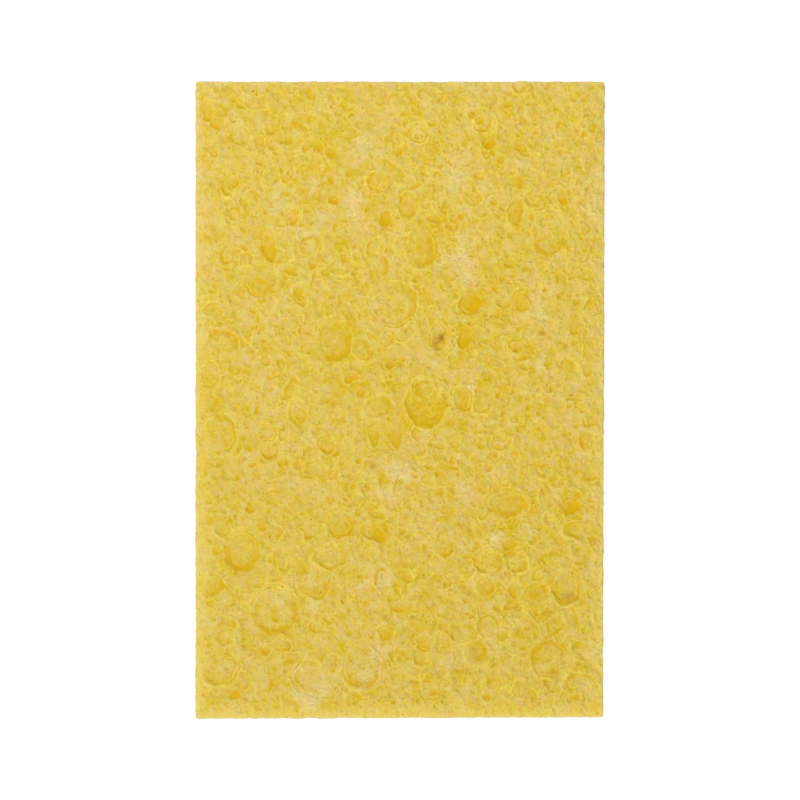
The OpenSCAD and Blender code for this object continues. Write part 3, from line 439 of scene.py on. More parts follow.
pale_patches = [
    (-24, -47, 14, 7, 0.08), (32, 38, 4, 7, 0.12), (30, 0, 5, 5, 0.09), (-29, 28, 6, 8, 0.05),
    (-27.4, 47.5, 1.2, 1.6, 0.6), (-34.5, 41.5, 0.8, 2, 0.7), (-28, 41.3, 1.2, 1, 0.4),
    (-12.5, 53, 1, 2, 0.35), (-14.5, 50, 1.2, 1, 0.35), (-2.5, 49.5, 1.5, 2, 0.5),
    (-4.5, 46, 1.2, 2.5, 0.4), (-6.8, 43, 1.5, 1.7, 0.9), (-8, 35, 1.3, 2.2, 1.1),
    (-8.5, 32.3, 1.3, 1, 1), (-20.7, 37.5, 1, 1.5, 0.45), (-21.3, 33.7, 1, 1.3, 1),
    (-12.7, 32, 1.2, 1, 0.6), (-14.8, 37.3, 0.8, 0.8, 0.35), (-16, 28.3, 2, 1, 0.95),
    (-6, 29, 1.2, 1.8, 0.5), (-34, 33, 1.5, 2.5, 0.5), (9.8, 39, 2, 2.5, 0.8),
    (10.5, 42, 1.5, 1.5, 0.45), (12.5, 48, 1.3, 2, 0.45), (5.3, 50, 1, 1.3, 0.4),
    (15.4, 36.7, 1.2, 1, 0.5), (21.8, 41, 1.3, 0.9, 0.55), (26, 45.5, 2, 2, 0.25),
    (15.5, 31, 0.9, 1.2, 0.35), (11.5, 31.5, 1, 1, 0.3), (11.5, 28.5, 1.3, 1.5, 0.3),
    (34.3, 32.8, 1.5, 1.8, 1.1), (34, 38, 1.2, 2, 0.4), (30.5, 37, 1.5, 1, 0.3),
    (13, 53, 2, 1, 0.6), (18.5, 54, 1, 0.8, 0.6), (-34, 24, 1, 3, 0.8), (-34, 12, 1, 3, 0.5),
    (-14, 20.5, 1.3, 1.5, 0.5), (-20, 16.5, 1, 1, 0.4), (-21.6, 13.7, 1.1, 0.9, 0.8),
    (-23.7, 4.3, 1.2, 1.2, 0.5), (-23.5, 0, 1.5, 1, 0.65), (-27, 15.5, 1.5, 0.8, 0.35),
    (-3, 13, 1.5, 1.2, 0.6), (0, 11.5, 1.5, 1.2, 0.6), (-1.5, 24.5, 1.8, 2, 0.35),
    (3.5, 7, 1.7, 2, 0.5), (-4, 16.5, 0.7, 0.7, 0.4), (10.5, 24, 1.2, 2, 1), (11, 21, 1, 1.5, 0.6),
    (7, 25, 1, 2, 0.35), (7, 14.5, 1, 1, 0.3), (16, 17, 0.9, 1.3, 0.4), (24, 16, 1, 3, 0.9),
    (25.5, 20.5, 1.2, 1.7, 0.5), (21.5, 22, 1.2, 2, 0.25), (25.5, 11.5, 1.7, 1.2, 0.35),
    (7.5, 2.8, 0.7, 1.7, 0.55), (12, 3, 0.8, 1.7, 0.6), (24.3, 6.5, 1, 1.2, 0.45),
    (27, 3.5, 1.5, 1.2, 0.4), (26.5, 0.5, 1.5, 1, 0.35), (34, 6, 0.8, 3, 0.4),
    (34.3, 18, 0.8, 1.5, 0.5), (-18.5, -7, 2, 1.3, 0.3), (-11, -4.7, 1.2, 0.9, 0.35),
    (-25.5, -4.5, 1.2, 1.2, 0.3), (-26, -12, 3, 3, 0.2), (-17.5, -15.5, 1.7, 1.3, 0.4),
    (-14.3, -15.5, 1, 1.2, 0.35), (-34.3, -17.5, 1, 1.3, 0.6), (-34.5, -25, 0.8, 3, 0.7),
    (-1.5, -11, 2, 1.3, 0.7), (0.8, -13, 1.3, 1.7, 1.1), (-2.5, -16.2, 2, 1.1, 0.8),
    (3.5, -6.3, 2, 1.5, 0.55), (11, -16, 2, 1.3, 0.7), (16, -11.5, 2, 1.5, 0.35),
    (18.5, -12.8, 1.5, 1.3, 0.35), (4.5, -18, 1.2, 2, 0.35), (4, -23, 2, 2.5, 0.3),
    (30, -4, 2, 2, 0.35), (34.5, -9.5, 1, 1, 0.6), (10.5, -24.5, 1.5, 1.5, 0.35),
    (16.7, -23.7, 1, 0.9, 0.5), (22.8, -23.5, 1.3, 0.9, 0.5), (25, -18.7, 1, 1.5, 0.35),
    (34.5, -17.5, 0.8, 1.5, 0.4), (-3.3, -29.5, 1.2, 1.2, 0.8), (-11.5, -28.3, 1.3, 1.2, 0.35),
    (-27, -26.3, 0.8, 0.8, 0.25), (-34, -37.7, 1.5, 1.3, 1.1), (-34, -29, 1.2, 1.5, 0.6),
    (-28.5, -37, 1.2, 1.7, 0.3), (-14.8, -31.3, 1.3, 0.9, 0.4), (-20.7, -34.7, 1, 1.5, 0.45),
    (-15, -35.4, 1.2, 1, 0.8), (-6.5, -31.5, 1.3, 1, 0.5), (-3.3, -31, 1.2, 2, 0.8),
    (-4, -42.7, 1.4, 1, 1), (-9, -42.3, 1.3, 1, 0.4), (-6.7, -47.3, 1, 1.5, 0.6),
    (-3.5, -47, 0.9, 1.2, 0.6), (-14, -49, 2.5, 1.3, 0.8), (-16, -52, 1.7, 2.3, 1.3),
    (-24, -47.2, 1.3, 1.7, 0.55), (-33.8, -48.2, 1.2, 1.2, 0.5), (-27.5, -53.8, 1.5, 0.8, 0.6),
    (8.5, -44.5, 1.5, 1.8, 0.45), (10, -36, 1, 1.7, 0.35), (17.5, -38.3, 1.2, 2, 0.3),
    (16, -42, 2, 2, 0.3), (13.2, -50.8, 1.5, 1.3, 0.45), (1.2, -52, 1.2, 1, 0.35),
    (20.5, -46, 1, 1.5, 0.35), (34, -42.2, 1.5, 1.2, 1.2), (33.5, -29.5, 1.5, 2, 0.6),
    (29.5, -31, 1.3, 1, 0.3), (26.5, -45, 1, 1, 0.2), (30.5, -49, 1.2, 1, 0.3),
    (28, -54, 1.8, 0.8, 0.8), (9, -54, 2, 0.8, 0.6), (-5, -53.5, 3, 0.8, 0.4),
    (33.5, -37, 0.7, 1.5, 0.4),
]


def scatter(number, smallest, largest, bare):
    """Random pores of those sizes over a face, of which that share have bare floors."""
    pores = []
    for x, y in rng.uniform(low[:2], high[:2], (number, 2)):
        size = smallest * (largest / smallest) ** rng.random()
        fill = rng.uniform(0.6, 1) if rng.random() < bare else rng.uniform(0, 0.3)
        depth = min(0.8, size * rng.uniform(0.1, 0.3) + 0.3 * fill)
        pores.append((x, y, size, size * rng.uniform(1, 1.7), rng.uniform(0, 180), depth, fill,
                      rng.uniform(-180, 180)))
    return pores


def around(x, y, reach):
    """Index ranges of the grid that hold the square of that reach about x, y."""
    i = np.clip(np.searchsorted(grid_x, (x - reach, x + reach)), 0, count[0])
    j = np.clip(np.searchsorted(grid_y, (y - reach, y + reach)), 0, count[1])
    return slice(i[0], i[1]), slice(j[0], j[1])


def creases(wavelength, width, seed):
    """Thin lines that wander over the face like the edges of folded walls, 1 at their crests."""
    wave = grain(wavelength, 0.3, seed)
    slope = np.hypot(*np.gradient(wave, step[0], step[1]))
    return np.exp(-(wave / (slope * width + 1e-3)) ** 2) * np.clip(slope * wavelength / 4, 0, 1)


def fold_arcs(number, smallest, largest, bend_x, bend_y, rng):
    """Thin ridges along parts of ovals: the edges of cells that were pressed shut."""
    lines = np.zeros(plan_x.shape, np.float32)
    for _ in range(number):
        size = smallest * (largest / smallest) ** rng.random() ** 1.5
        x, y = rng.uniform(low[:2], high[:2])
        window = around(x, y, 1.3 * size + 0.5)
        px, py = plan_x[window] + bend_x[window] - x, plan_y[window] + bend_y[window] - y
        turn, squash = rng.uniform(0, math.pi), rng.uniform(0.3, 1)
        u = px * math.cos(turn) + py * math.sin(turn)
        v = (py * math.cos(turn) - px * math.sin(turn)) / squash
        bearing = np.arctan2(v, u)
        out = np.hypot(u, v) * (1 + 0.05 * np.cos(3 * bearing + rng.uniform(0, 6.28)))
        start, length = rng.uniform(0, math.tau), rng.uniform(0.6, 3.2)
        along = (bearing - start) % math.tau / length
        kept = np.clip(np.minimum(along, 1 - along) * 4, 0, 1)
        width = rng.uniform(0.12, 0.26)
        line = np.exp(-((out - size) / width) ** 2) * kept * rng.uniform(0.1, 0.84) ** 1.5
        lines[window] = np.maximum(lines[window], line)
    return lines


def fibres(rows, rng):
    """Thin bowed threads, 1 along their crests: x, y, length, direction and strength in each row."""
    threads = np.zeros(plan_x.shape, np.float32)
    for x, y, length, turn, strength in rows:
        window = around(x, y, length / 2 + 0.2)
        px, py = plan_x[window] - x, plan_y[window] - y
        along = px * math.cos(turn) + py * math.sin(turn)
        across = py * math.cos(turn) - px * math.sin(turn)
        across = across + rng.normal(0, 0.12) * (along ** 2 - length ** 2 / 12)
        kept = np.clip((length / 2 - np.abs(along)) * 3, 0, 1)
        thread = np.exp(-(across / rng.uniform(0.07, 0.13)) ** 2) * kept * strength
        threads[window] = np.maximum(threads[window], thread)
    return threads


def strewn(number, shortest, longest, faintest, rng):
    """That many threads that lie anywhere and any way."""
    return zip(rng.uniform(low[0], high[0], number), rng.uniform(low[1], high[1], number),
               rng.uniform(shortest, longest, number), rng.uniform(0, math.pi, number),
               rng.uniform(faintest, 1, number))


def tufts(patches, rng):
    """Threads that were torn up in the frayed patches, side by side in each."""
    rows = []
    for x, y, a, b, strength in patches:
        turn = rng.normal(0, 0.35)
        for _ in range(int(7 + 7 * a * b)):
            rows.append((x + rng.normal(0, 0.55 * a), y + rng.normal(0, 0.55 * b), rng.uniform(0.7, 2.2),
                         turn + rng.normal(0, 0.25), strength * rng.uniform(0.25, 0.95)))
    return fibres(rows, rng)


def dots(number, smallest, largest, rng):
    """Small soft hollows, 1 at their middles: fine pores that a face cut near their ends."""
    marks = np.zeros(plan_x.shape, np.float32)
    for _ in range(number):
        size = smallest * (largest / smallest) ** rng.random()
        x, y = rng.uniform(low[:2], high[:2])
        window = around(x, y, 2.5 * size + 0.2)
        px, py = plan_x[window] - x, plan_y[window] - y
        turn, stretch = rng.uniform(0, math.pi), rng.uniform(1, 2)
        u = (px * math.cos(turn) + py * math.sin(turn)) / stretch
        v = py * math.cos(turn) - px * math.sin(turn)
        mark = np.exp(-(np.hypot(u, v) / size) ** 2.5) * rng.uniform(0.3, 1)
        marks[window] = np.maximum(marks[window], mark)
    return marks


def dye(golden, pale, bend_x, bend_y):
    """Depth of the dye over a face: below zero in the golden patches and above it in the pale ones."""
    tone = np.zeros(plan_x.shape, np.float32)
    for patches, sign in ((golden, -1.1), (pale, 1.5)):
        for x, y, a, b, strength in patches:
            window = around(x, y, 2.4 * max(a, b) + 1)
            px = plan_x[window] + 4 * bend_x[window] - x
            py = plan_y[window] + 4 * bend_y[window] - y
            tone[window] += sign * strength * np.exp(-0.7 * ((px / a) ** 2 + (py / b) ** 2))
    return tone


def blots(rows, bend_x, bend_y):
    """Soft patches: x, y, half width, half length and strength in each row."""
    cover = np.zeros(plan_x.shape, np.float32)
    for x, y, a, b, strength in rows:
        window = around(x, y, 2.2 * max(a, b) + 1)
        px = plan_x[window] + 3 * bend_x[window] - x
        py = plan_y[window] + 3 * bend_y[window] - y
        spread = np.exp(-0.7 * ((px / a) ** 2 + (py / b) ** 2)) * strength
        cover[window] = np.maximum(cover[window], spread)
    return cover


def torn_edges(rims, bend_x, bend_y):
    """How pale and raised the torn rims are, from 0 to 1."""
    edges = np.zeros(plan_x.shape, np.float32)
    for x, y, a, b, middle, spread, strength in rims:
        window = around(x, y, max(a, b) + 1)
        px = plan_x[window] + 1.5 * bend_x[window] - x
        py = plan_y[window] + 1.5 * bend_y[window] - y
        gap = (np.hypot(px / a, py / b) - 1) * math.sqrt(a * b)
        off = np.abs((np.arctan2(py, px) - math.radians(middle) + math.pi) % math.tau - math.pi)
        kept = np.clip((math.radians(spread) - off) * 2.5, 0, 1)
        edges[window] = np.maximum(edges[window], strength * kept * np.exp(-(gap / 0.2) ** 2))
    return edges


def press_pores(pores, mottle, bend_x, bend_y, rng):
    """Depth of the pores below the flat, and maps of how bare and how hollow they are and of their
    rims. Each row is laid over the ones before it."""
    floor, bare, hollow, rim = [np.zeros(plan_x.shape, np.float32) for _ in range(4)]
    rim_place, rim_width, fold_width = 0.1, 0.18, 0.17
    for x, y, a, b, turn, depth, fill, lean in pores:
        window = around(x, y, 1.2 * max(a, b) + 1.0)
        uneven = 0.05
        if a * b < 1:
            uneven = 0.12
        elif fill >= 0.5:
            uneven = 0.1
        # Wavy oval: gap is the distance outside its edge, inside the distance within it
        px = plan_x[window] + bend_x[window] - x
        py = plan_y[window] + bend_y[window] - y
        cos, sin = math.cos(math.radians(turn)), math.sin(math.radians(turn))
        u, v = (px * cos + py * sin) / a, (py * cos - px * sin) / b
        out = np.hypot(u, v)
        bearing = np.arctan2(py, px)
        waver = sum(rng.normal(0, uneven / k) * np.cos(k * bearing + rng.uniform(0, 6.28))
                    for k in (2, 3, 4, 5))
        out = out * (1 + waver * np.clip(out, 0, 1))
        size = math.sqrt(a * b)
        gap = (out - 1) * size
        inside = np.clip(-gap, 0, None)
        within = np.clip(inside / rng.uniform(0.2, 0.45), 0, 1)
        # Steep wall, then a floor that is lowest in a trough along the side it leans to
        towards = np.clip(0.45 + 0.85 * np.cos(bearing - math.radians(lean)), 0, 1)
        trough = towards * np.exp(-(inside / (0.35 + 0.22 * size)) ** 4)
        cover = np.clip(fill * (0.5 + 0.5 * towards) + (1 - 0.5 * fill) * trough, 0, 1)
        patchy = 0.85 + 0.15 * fill + 0.3 * (1 - 0.5 * fill) * mottle[window]
        cover = np.clip(cover * patchy, 0, 1)
        steep = 1 - np.exp(-(inside / (0.2 + 0.14 * size)) ** 1.4)
        lowest = 0.64 * depth
        floor[window] = floor[window] * (1 - 0.6 * within) + lowest * steep * (0.25 + 0.75 * cover)
        bare[window] = np.maximum(bare[window] * (1 - within), within * fill)
        # The hollow map is painted golden and darker: partly the pore's golden film, partly painted shade
        # in its dip and trough
        hollow[window] = np.maximum(hollow[window] * (1 - within), within * cover)
        # Rim that is raised in part, and in the larger pores a fold outside and one inside it
        strength = rng.uniform(0.65, 1.1) * min(1.0, 0.4 + 0.5 * size) * (1 - 0.4 * fill)
        part = np.clip(0.55 + 0.7 * np.cos(bearing - rng.uniform(0, math.tau)), 0, 1)
        part = part * (0.4 + 0.9 * mottle[window])
        edge = np.exp(-((gap - rim_place) / rim_width) ** 2) * part
        if size > 1.3:
            for fold_place in (rng.uniform(0.3, 0.6), rng.uniform(-0.9, -0.5)):
                part = np.clip(0.2 + 0.8 * np.cos(bearing - rng.uniform(0, math.tau)), 0, 1)
                fold = np.exp(-((gap - fold_place) / fold_width) ** 2)
                edge = np.maximum(edge, 0.8 * part * fold)
        rim[window] = np.maximum(rim[window] * (1 - within * max(fill, 0.5)), edge * strength)
    return floor, bare, hollow, rim


def pressed_face(background, pores, small, torn_rows, torn_rims, brown, golden, pale, seed):
    """Relief of one face below its flat, and maps of its folds, hollows, patches and tone."""
    bend_x = 0.10 * grain(4.0, 0.4, seed) + 0.03 * grain(1.3, 0.35, seed + 1)
    bend_y = 0.10 * grain(4.0, 0.4, seed + 2) + 0.03 * grain(1.3, 0.35, seed + 3)
    mottle = np.clip(0.5 + 0.8 * grain(1.3, 0.4, seed + 7), 0, 1)
    rng = np.random.default_rng(seed + 9)
    small_depth, small_lean = 0.25, -90
    pores = background + sorted(pores, key=lambda p: -p[2] * p[3])
    pores += [(x, y, a, b, rng.uniform(-25, 25), small_depth, rng.uniform(0.5, 1.1), small_lean)
              for x, y, a, b in small]
    floor, bare, hollow, rim = press_pores(pores, mottle, bend_x, bend_y, rng)
    rough = 1 - bare

    # Frayed and torn cellulose is whiter, and bark stains it
    torn = tufts(torn_rows, rng)
    edges = torn_edges(torn_rims, bend_x, bend_y) * (0.5 + 0.7 * mottle)
    white = blots([(x, y, a + 0.2, b + 0.2, 0.2 * w) for x, y, a, b, w in torn_rows], bend_x, bend_y)
    white = np.clip(white + np.maximum(0.75 * torn, 0.95 * edges), 0, 1)
    stain = blots(brown, bend_y, bend_x)

    # Folds and threads stand up, gaps between threads and the ends of fine pores go down
    arcs = fold_arcs(4300, 0.35, 3.0, bend_x, bend_y, rng)
    threads = np.maximum(0.75 * fibres(strewn(12000, 0.4, 2.2, 0.1, rng), rng), torn)
    gaps = fibres(strewn(11000, 0.3, 1.3, 0.1, rng), rng)
    folded = 0.25 * creases(1.4, 0.08, seed + 11) + 0.4 * creases(0.7, 0.07, seed + 12)
    marks = dots(5000, 0.14, 0.36, rng) * rough
    clear = (0.2 + 0.8 * rough) * (1 - 0.85 * hollow)
    # The ridges are painted pale: partly the paler film of the folds and threads, partly painted highlight
    # on their crests
    ridge = np.maximum(np.maximum(rim, edges), np.maximum(arcs, threads) * clear)
    ridge = np.clip(ridge + folded * rough * (1 - ridge) * (0.5 + 0.5 * np.clip(white, 0, 1)), 0, 1)
    gaps = gaps * (1 - 0.8 * ridge) * (0.4 + 0.6 * rough) * (1 + white)
    marks = marks * (1 - ridge)
    crest_level, ridge_height, pit_depth, deepest = 0.3, 0.3, 0.26, 1.4
    fuzz = (0.01 * grain(0.45, 0.35, seed + 13) + 0.03 * grain(1.0, 0.4, seed + 22)) * rough
    sway = 0.02 * grain(12, 0.4, seed + 14)
    swell = (0.05 * grain(2.0, 0.35, seed + 15) + 0.08 * grain(3.8, 0.35, seed + 23)) * rough
    relief = crest_level + floor - ridge_height * ridge + pit_depth * marks + pit_depth * gaps
    relief = np.clip(relief + fuzz + sway + swell, 0.0, deepest).astype(np.float32)

    # Tone: golden below zero, pale above it, and paler along the rim, partly where the cut rubs it
    # and partly as painted glow, for the light that comes in through the cut sides
    rind_width, edge_light_width = 1.3, 2.2
    tone = 0.3 * grain(1.1, 0.4, seed + 16) + 0.8 * grain(2.3, 0.4, seed + 17)
    tone = tone + 0.75 * grain(4.8, 0.35, seed + 18) + 2.7 * dye(golden, pale, bend_x, bend_y)
    rind = np.exp(-(np.clip(plan, 0, None) / rind_width) ** 2)
    tone = tone * (0.3 + 0.7 * rough) + 0.6 * white + 1.7 * rind + 3.0 * rind ** 12
    white = np.maximum(white, 0.45 * rind ** 12)
    # Painted light along the rim: the near end, which faces the lamp, gets the pale ridge colour, fading
    # towards the far end
    near_edge_light = (0.3 - 0.27 * plan_y / high[1]) * np.exp(-(np.clip(plan, 0, None) / edge_light_width) ** 2)
    ridge = 1 - (1 - np.maximum(ridge, 0.35 * rind)) * (1 - near_edge_light)
    # Fine pores and gaps join the hollow map too, their darker gold partly painted shade
    hollow = np.clip(np.maximum(hollow, np.maximum(0.8 * marks, 0.1 * gaps)), 0, 1)
    return relief, ridge, hollow, bare, tone, white, stain


def random_rows(number, least, most, weakest):
    """That many rows anywhere on a face: x, y, half width, half length, strength."""
    return np.column_stack((rng.uniform(low[:2], high[:2], (number, 2)),
                            rng.uniform(least, most, (number, 2)), rng.uniform(weakest, 1, number)))


# The upper face is laid out pore by pore over a random filler, and the lower face is all random
upper_filler = scatter(150, 0.8, 1.7, 0.0) + scatter(300, 0.4, 0.8, 0.2)
upper = pressed_face(upper_filler, hero_pores, small_pores, frayed, torn_rims, brown_specks,
                     golden_patches, pale_patches, 100)
lower_pores = scatter(30, 2.3, 4, 0.1) + scatter(90, 1.2, 2.3, 0.2) + scatter(200, 0.7, 1.2, 0.2)
lower_small = [(x, y, a, b * rng.uniform(0.6, 1.6)) for x, y, a, b in np.column_stack(
    (rng.uniform(low[:2], high[:2], (350, 2)), rng.uniform(0.3, 0.9, (350, 2))))]
lower_frayed = random_rows(90, 0.5, 2, 0.4)
lower_specks = [(-12.0, 21.0, 0.4, 0.3, 0.7), (18.0, -33.0, 0.3, 0.5, 0.5), (-25.0, -40.0, 0.4, 0.3, 0.4)]
lower_golden = random_rows(150, 0.8, 3, 0.3)
lower_paler = random_rows(110, 0.8, 3, 0.3)
lower = pressed_face([], lower_pores, lower_small, lower_frayed, [], lower_specks,
                     lower_golden, lower_paler, 300)


# The sides are cut across the flattened pores, so they look like the edge of a stack of leaves
def side_grain(along, across, wave_along, wave_up, seed):
    """Random relief over a side of that many cells, with waves longer along it than up it."""
    noise = np.random.default_rng(seed).standard_normal((along, across))
    fa = np.fft.fftfreq(along, step[0])[:, None] * wave_along
    fu = np.fft.rfftfreq(across, step[2])[None, :] * wave_up
    relief = np.fft.irfft2(np.fft.rfft2(noise) * np.exp(-2.0 * (fa ** 2 + fu ** 2)), (along, across))
    return (relief / relief.std()).astype(np.float32)


def sides_of(wave_along, wave_up, seed):
    """Side relief for every cell of the foam, taken from the side that the cell lies nearest to."""
    left, right = [side_grain(count[1], count[2], wave_along, wave_up, seed + k) for k in (0, 1)]
    near, far = [side_grain(count[0], count[2], wave_along, wave_up, seed + k) for k in (2, 3)]
    over_x = np.where((plan_x < 0)[:, :, None], left[None], right[None])
    over_y = np.where((plan_y < 0)[:, :, None], near[:, None], far[:, None])
    at_end = (high[1] - np.abs(plan_y)) < (high[0] - np.abs(plan_x))
    return np.where(at_end[:, :, None], over_y, over_x)


# The foam on the grid: above zero inside it. The upper rim falls away towards the cut, the sides
# have a slight waist, and a whole layer stays below the slits and above them.
rim_fall, rim_reach = 0.35, 1.7
waist_depth, leaf_depth = 0.055, 0.03
whole_below, whole_above = 0.8, 1.0
top = thickness - upper[0] - rim_fall * np.exp(-(np.clip(plan, 0, None) / rim_reach) ** 2)
bottom = lower[0]
leaves = sides_of(2.2, 0.45, 500)
sag, crumple = grain(3.2, 0.4, 520), grain(0.9, 0.4, 521)
waist = waist_depth * np.sin(np.pi * np.clip(grid_z / thickness, 0, 1)) ** 0.5
field = plan[:, :, None] - waist + leaf_depth * leaves + leaf_depth * sides_of(0.6, 0.35, 510)
field = blend_min(field, (top[:, :, None] - grid_z).astype(np.float32), edge_round)
field = blend_min(field, (grid_z - bottom[:, :, None]).astype(np.float32), edge_round).astype(np.float32)


def hollow_out(x, y, z, across, along, half_height, turn):
    """Takes a flattened ball out of the foam."""
    wx, wy = around(x, y, max(across, along) + 0.5)
    wz = slice(*np.searchsorted(grid_z, (z - 2 * half_height - 0.5, z + 2 * half_height + 0.5)))
    px, py = plan_x[wx, wy] - x, plan_y[wx, wy] - y
    bearing = np.arctan2(py, px)
    uneven = 1 + 0.08 * np.cos(2 * bearing + 7 * x) + 0.06 * np.cos(3 * bearing + 5 * y)
    u = (px * math.cos(turn) + py * math.sin(turn)) / across * uneven
    v = (py * math.cos(turn) - px * math.sin(turn)) / along * uneven
    height = half_height * np.clip(1 + 0.25 * crumple[wx, wy], 0.5, 1.5)[:, :, None]
    level = z + 0.14 * sag[wx, wy] + 0.05 * crumple[wx, wy]
    level = np.clip(level, whole_below, thickness - whole_above - rim_fall)[:, :, None]
    out = np.sqrt((u ** 2 + v ** 2)[:, :, None] + ((grid_z[wz] - level) / height) ** 2)
    field[wx, wy, wz] = np.minimum(field[wx, wy, wz], (out - 1) * height)


# Slits where the sides cut the flattened pores. way runs along an end and on along a long side,
# and end picks one of the two ends or sides.
slit_count, smallest_slit, slit_range, tallest_half = 1500, 0.2, 7, 0.28
for _ in range(slit_count):
    way = rng.uniform(0, 2 * (half[0] + half[1]))
    size = smallest_slit * slit_range ** rng.random() ** 2
    outset = size * rng.uniform(-0.6, 0.3)
    end = rng.choice((-1, 1))
    if way < 2 * half[0]:
        x, y = way - half[0], end * (half[1] + outset)
    else:
        x, y = end * (half[0] + outset), way - 2 * half[0] - half[1]
    z = thickness * rng.uniform(0.17, 0.8)
    half_height = min(0.11 + 0.17 * size * rng.random(), tallest_half)
    hollow_out(x, y, z, size, size * rng.uniform(0.7, 1.3), half_height, rng.uniform(0, math.pi))


def corner_values(grid, corner):
    """Values of the grid at one corner of each of its cells: corner is 0 or 1 along each axis."""
    i, j, k = corner
    return grid[i:grid.shape[0] - 1 + i, j:grid.shape[1] - 1 + j, k:grid.shape[2] - 1 + k]


def skin_of(field, origin, step):
    """Closed mesh of the surface where field is zero: one point in each cell that it crosses."""
    solid = field > 0
    corners_in = np.zeros(np.array(field.shape) - 1, np.int8)
    cell_corners = [(i, j, k) for i in (0, 1) for j in (0, 1) for k in (0, 1)]
    for corner in cell_corners:
        corners_in += corner_values(solid, corner)
    crossed = (corners_in > 0) & (corners_in < 8)
    cells = np.argwhere(crossed)
    number = np.full(crossed.shape, -1, np.int32)
    number[crossed] = np.arange(len(cells), dtype=np.int32)
    value = {corner: corner_values(field, corner)[crossed] for corner in cell_corners}

    # Each point is the mean of where the surface cuts the twelve edges of its cell
    total = np.zeros((len(cells), 3))
    crossings = np.zeros(len(cells))
    for corner in cell_corners:
        for axis in range(3):
            if corner[axis]:
                continue
            far = tuple(c + (k == axis) for k, c in enumerate(corner))
            a, b = value[corner], value[far]
            hit = (a > 0) != (b > 0)
            share = a[hit] / (a[hit] - b[hit])
            for k in range(3):
                total[hit, k] += corner[k] + (share if k == axis else 0)
            crossings[hit] += 1
    points = origin + (cells + total / crossings[:, None]) * step

    # A quad round each grid edge that the surface cuts joins the four cells that share the edge
    quads = []
    for axis in range(3):
        u, v = (axis + 1) % 3, (axis + 2) % 3
        before = [slice(1, -1)] * 3
        after = [slice(1, -1)] * 3
        before[axis], after[axis] = slice(0, -1), slice(1, None)
        a, b = solid[tuple(before)], solid[tuple(after)]
        base = np.array([1, 1, 1])
        base[axis] = 0
        for outward, edges in ((True, np.argwhere(a & ~b)), (False, np.argwhere(b & ~a))):
            edges = edges + base
            ring = []
            for du, dv in ((1, 1), (0, 1), (0, 0), (1, 0)):
                cell = edges.copy()
                cell[:, u] -= du
                cell[:, v] -= dv
                ring.append(number[cell[:, 0], cell[:, 1], cell[:, 2]])
            quad = np.stack(ring, 1)
            quads.append(quad if outward else quad[:, ::-1])
    return points, np.concatenate(quads)


points, quads = skin_of(field, origin, step)
sponge_mesh = bpy.data.meshes.new("cellulose_sheet")
sponge_mesh.vertices.add(len(points))
sponge_mesh.vertices.foreach_set("co", (points * MM).astype(np.float32).ravel())
sponge_mesh.loops.add(4 * len(quads))
sponge_mesh.loops.foreach_set("vertex_index", quads.astype(np.int32).ravel())
sponge_mesh.polygons.add(len(quads))
sponge_mesh.polygons.foreach_set("loop_start", np.arange(0, 4 * len(quads), 4, dtype=np.int32))
sponge_mesh.polygons.foreach_set("use_smooth", np.ones(len(quads), bool))
sponge_mesh.update(calc_edges=True)

# Maps that the skin carries: those of the faces, and on the cut sides maps of their own
at_x, at_y, at_z = np.clip(np.rint((points - origin) / step).astype(int), 0, count - 1).T
is_upper = points[:, 2] > thickness / 2
skin_depth = np.minimum(top[at_x, at_y] - points[:, 2], points[:, 2] - bottom[at_x, at_y])
on_side = np.clip((skin_depth - 0.12) / 0.3, 0, 1)
# On the cut sides, proud leaves get the ridge colour, partly painted highlight, and slit insides the
# hollow colour, partly painted shade
side_ridge = np.clip(0.25 + 0.4 * leaves[at_x, at_y, at_z], 0, 0.8)
side_hollow = np.clip((plan[at_x, at_y] - 0.35) / 0.6, 0, 1)
side_tone = 1.2 * sides_of(3.0, 0.9, 600)[at_x, at_y, at_z] + 0.6
nothing = np.zeros(len(points), np.float32)
side_maps = {"ridge": side_ridge * (1 - side_hollow), "hollow": side_hollow, "bare": 0.6 * side_hollow,
             "tone": side_tone, "white": nothing, "stain": nothing}
for index, (name, side_values) in enumerate(side_maps.items(), start=1):
    faces = [face[index][at_x, at_y] for face in (upper, lower)]
    values = np.where(is_upper, *faces) * (1 - on_side) + side_values * on_side
    layer = sponge_mesh.attributes.new(name, "FLOAT", "POINT")
    layer.data.foreach_set("value", values.astype(np.float32))

# Flat layout of the skin: both faces side by side, and beyond their far ends a strip for each long
# side and one for the two ends, then the same three again for the floors of the slits and once
# more for their roofs
layout_scale = 6.9 / 1024
apart = 1.0
strip_starts = np.array([0, 4.6, 9.2, 13.8, 17.4, 21, 24.6, 28.2, 31.8])
second_end, deepest_slit = 72, 3.2
corner_points = points[quads]
middle = corner_points.mean(1)
cross = np.cross(corner_points[:, 2] - corner_points[:, 0], corner_points[:, 3] - corner_points[:, 1])
upright = cross[:, 2] / np.linalg.norm(cross, axis=1).clip(1e-12)
inward = high[:2] - np.abs(middle[:, :2])
nearest = inward.min(1)
below = skin_depth[quads].mean(1)
in_side = ((below > 0.35) & (nearest < 3)) | ((np.abs(upright) < 0.45) & (nearest < 0.8))
end_side = inward[:, 1] < inward[:, 0]
beyond = np.where(end_side, middle[:, 1] > 0, middle[:, 0] > 0)
u = np.where((middle[:, 2] > thickness / 2)[:, None], corner_points[..., 0] + half[0] + apart,
             3 * half[0] + 3 * apart - corner_points[..., 0])
v = corner_points[..., 1] + half[1] + apart
slit = in_side & (np.abs(upright) > 0.75)
row = np.where(end_side, 2, beyond) + np.where(slit, np.where(upright > 0, 3, 6), 0)
row_start = 2 * half[1] + 3 * apart + strip_starts[row.astype(int)]
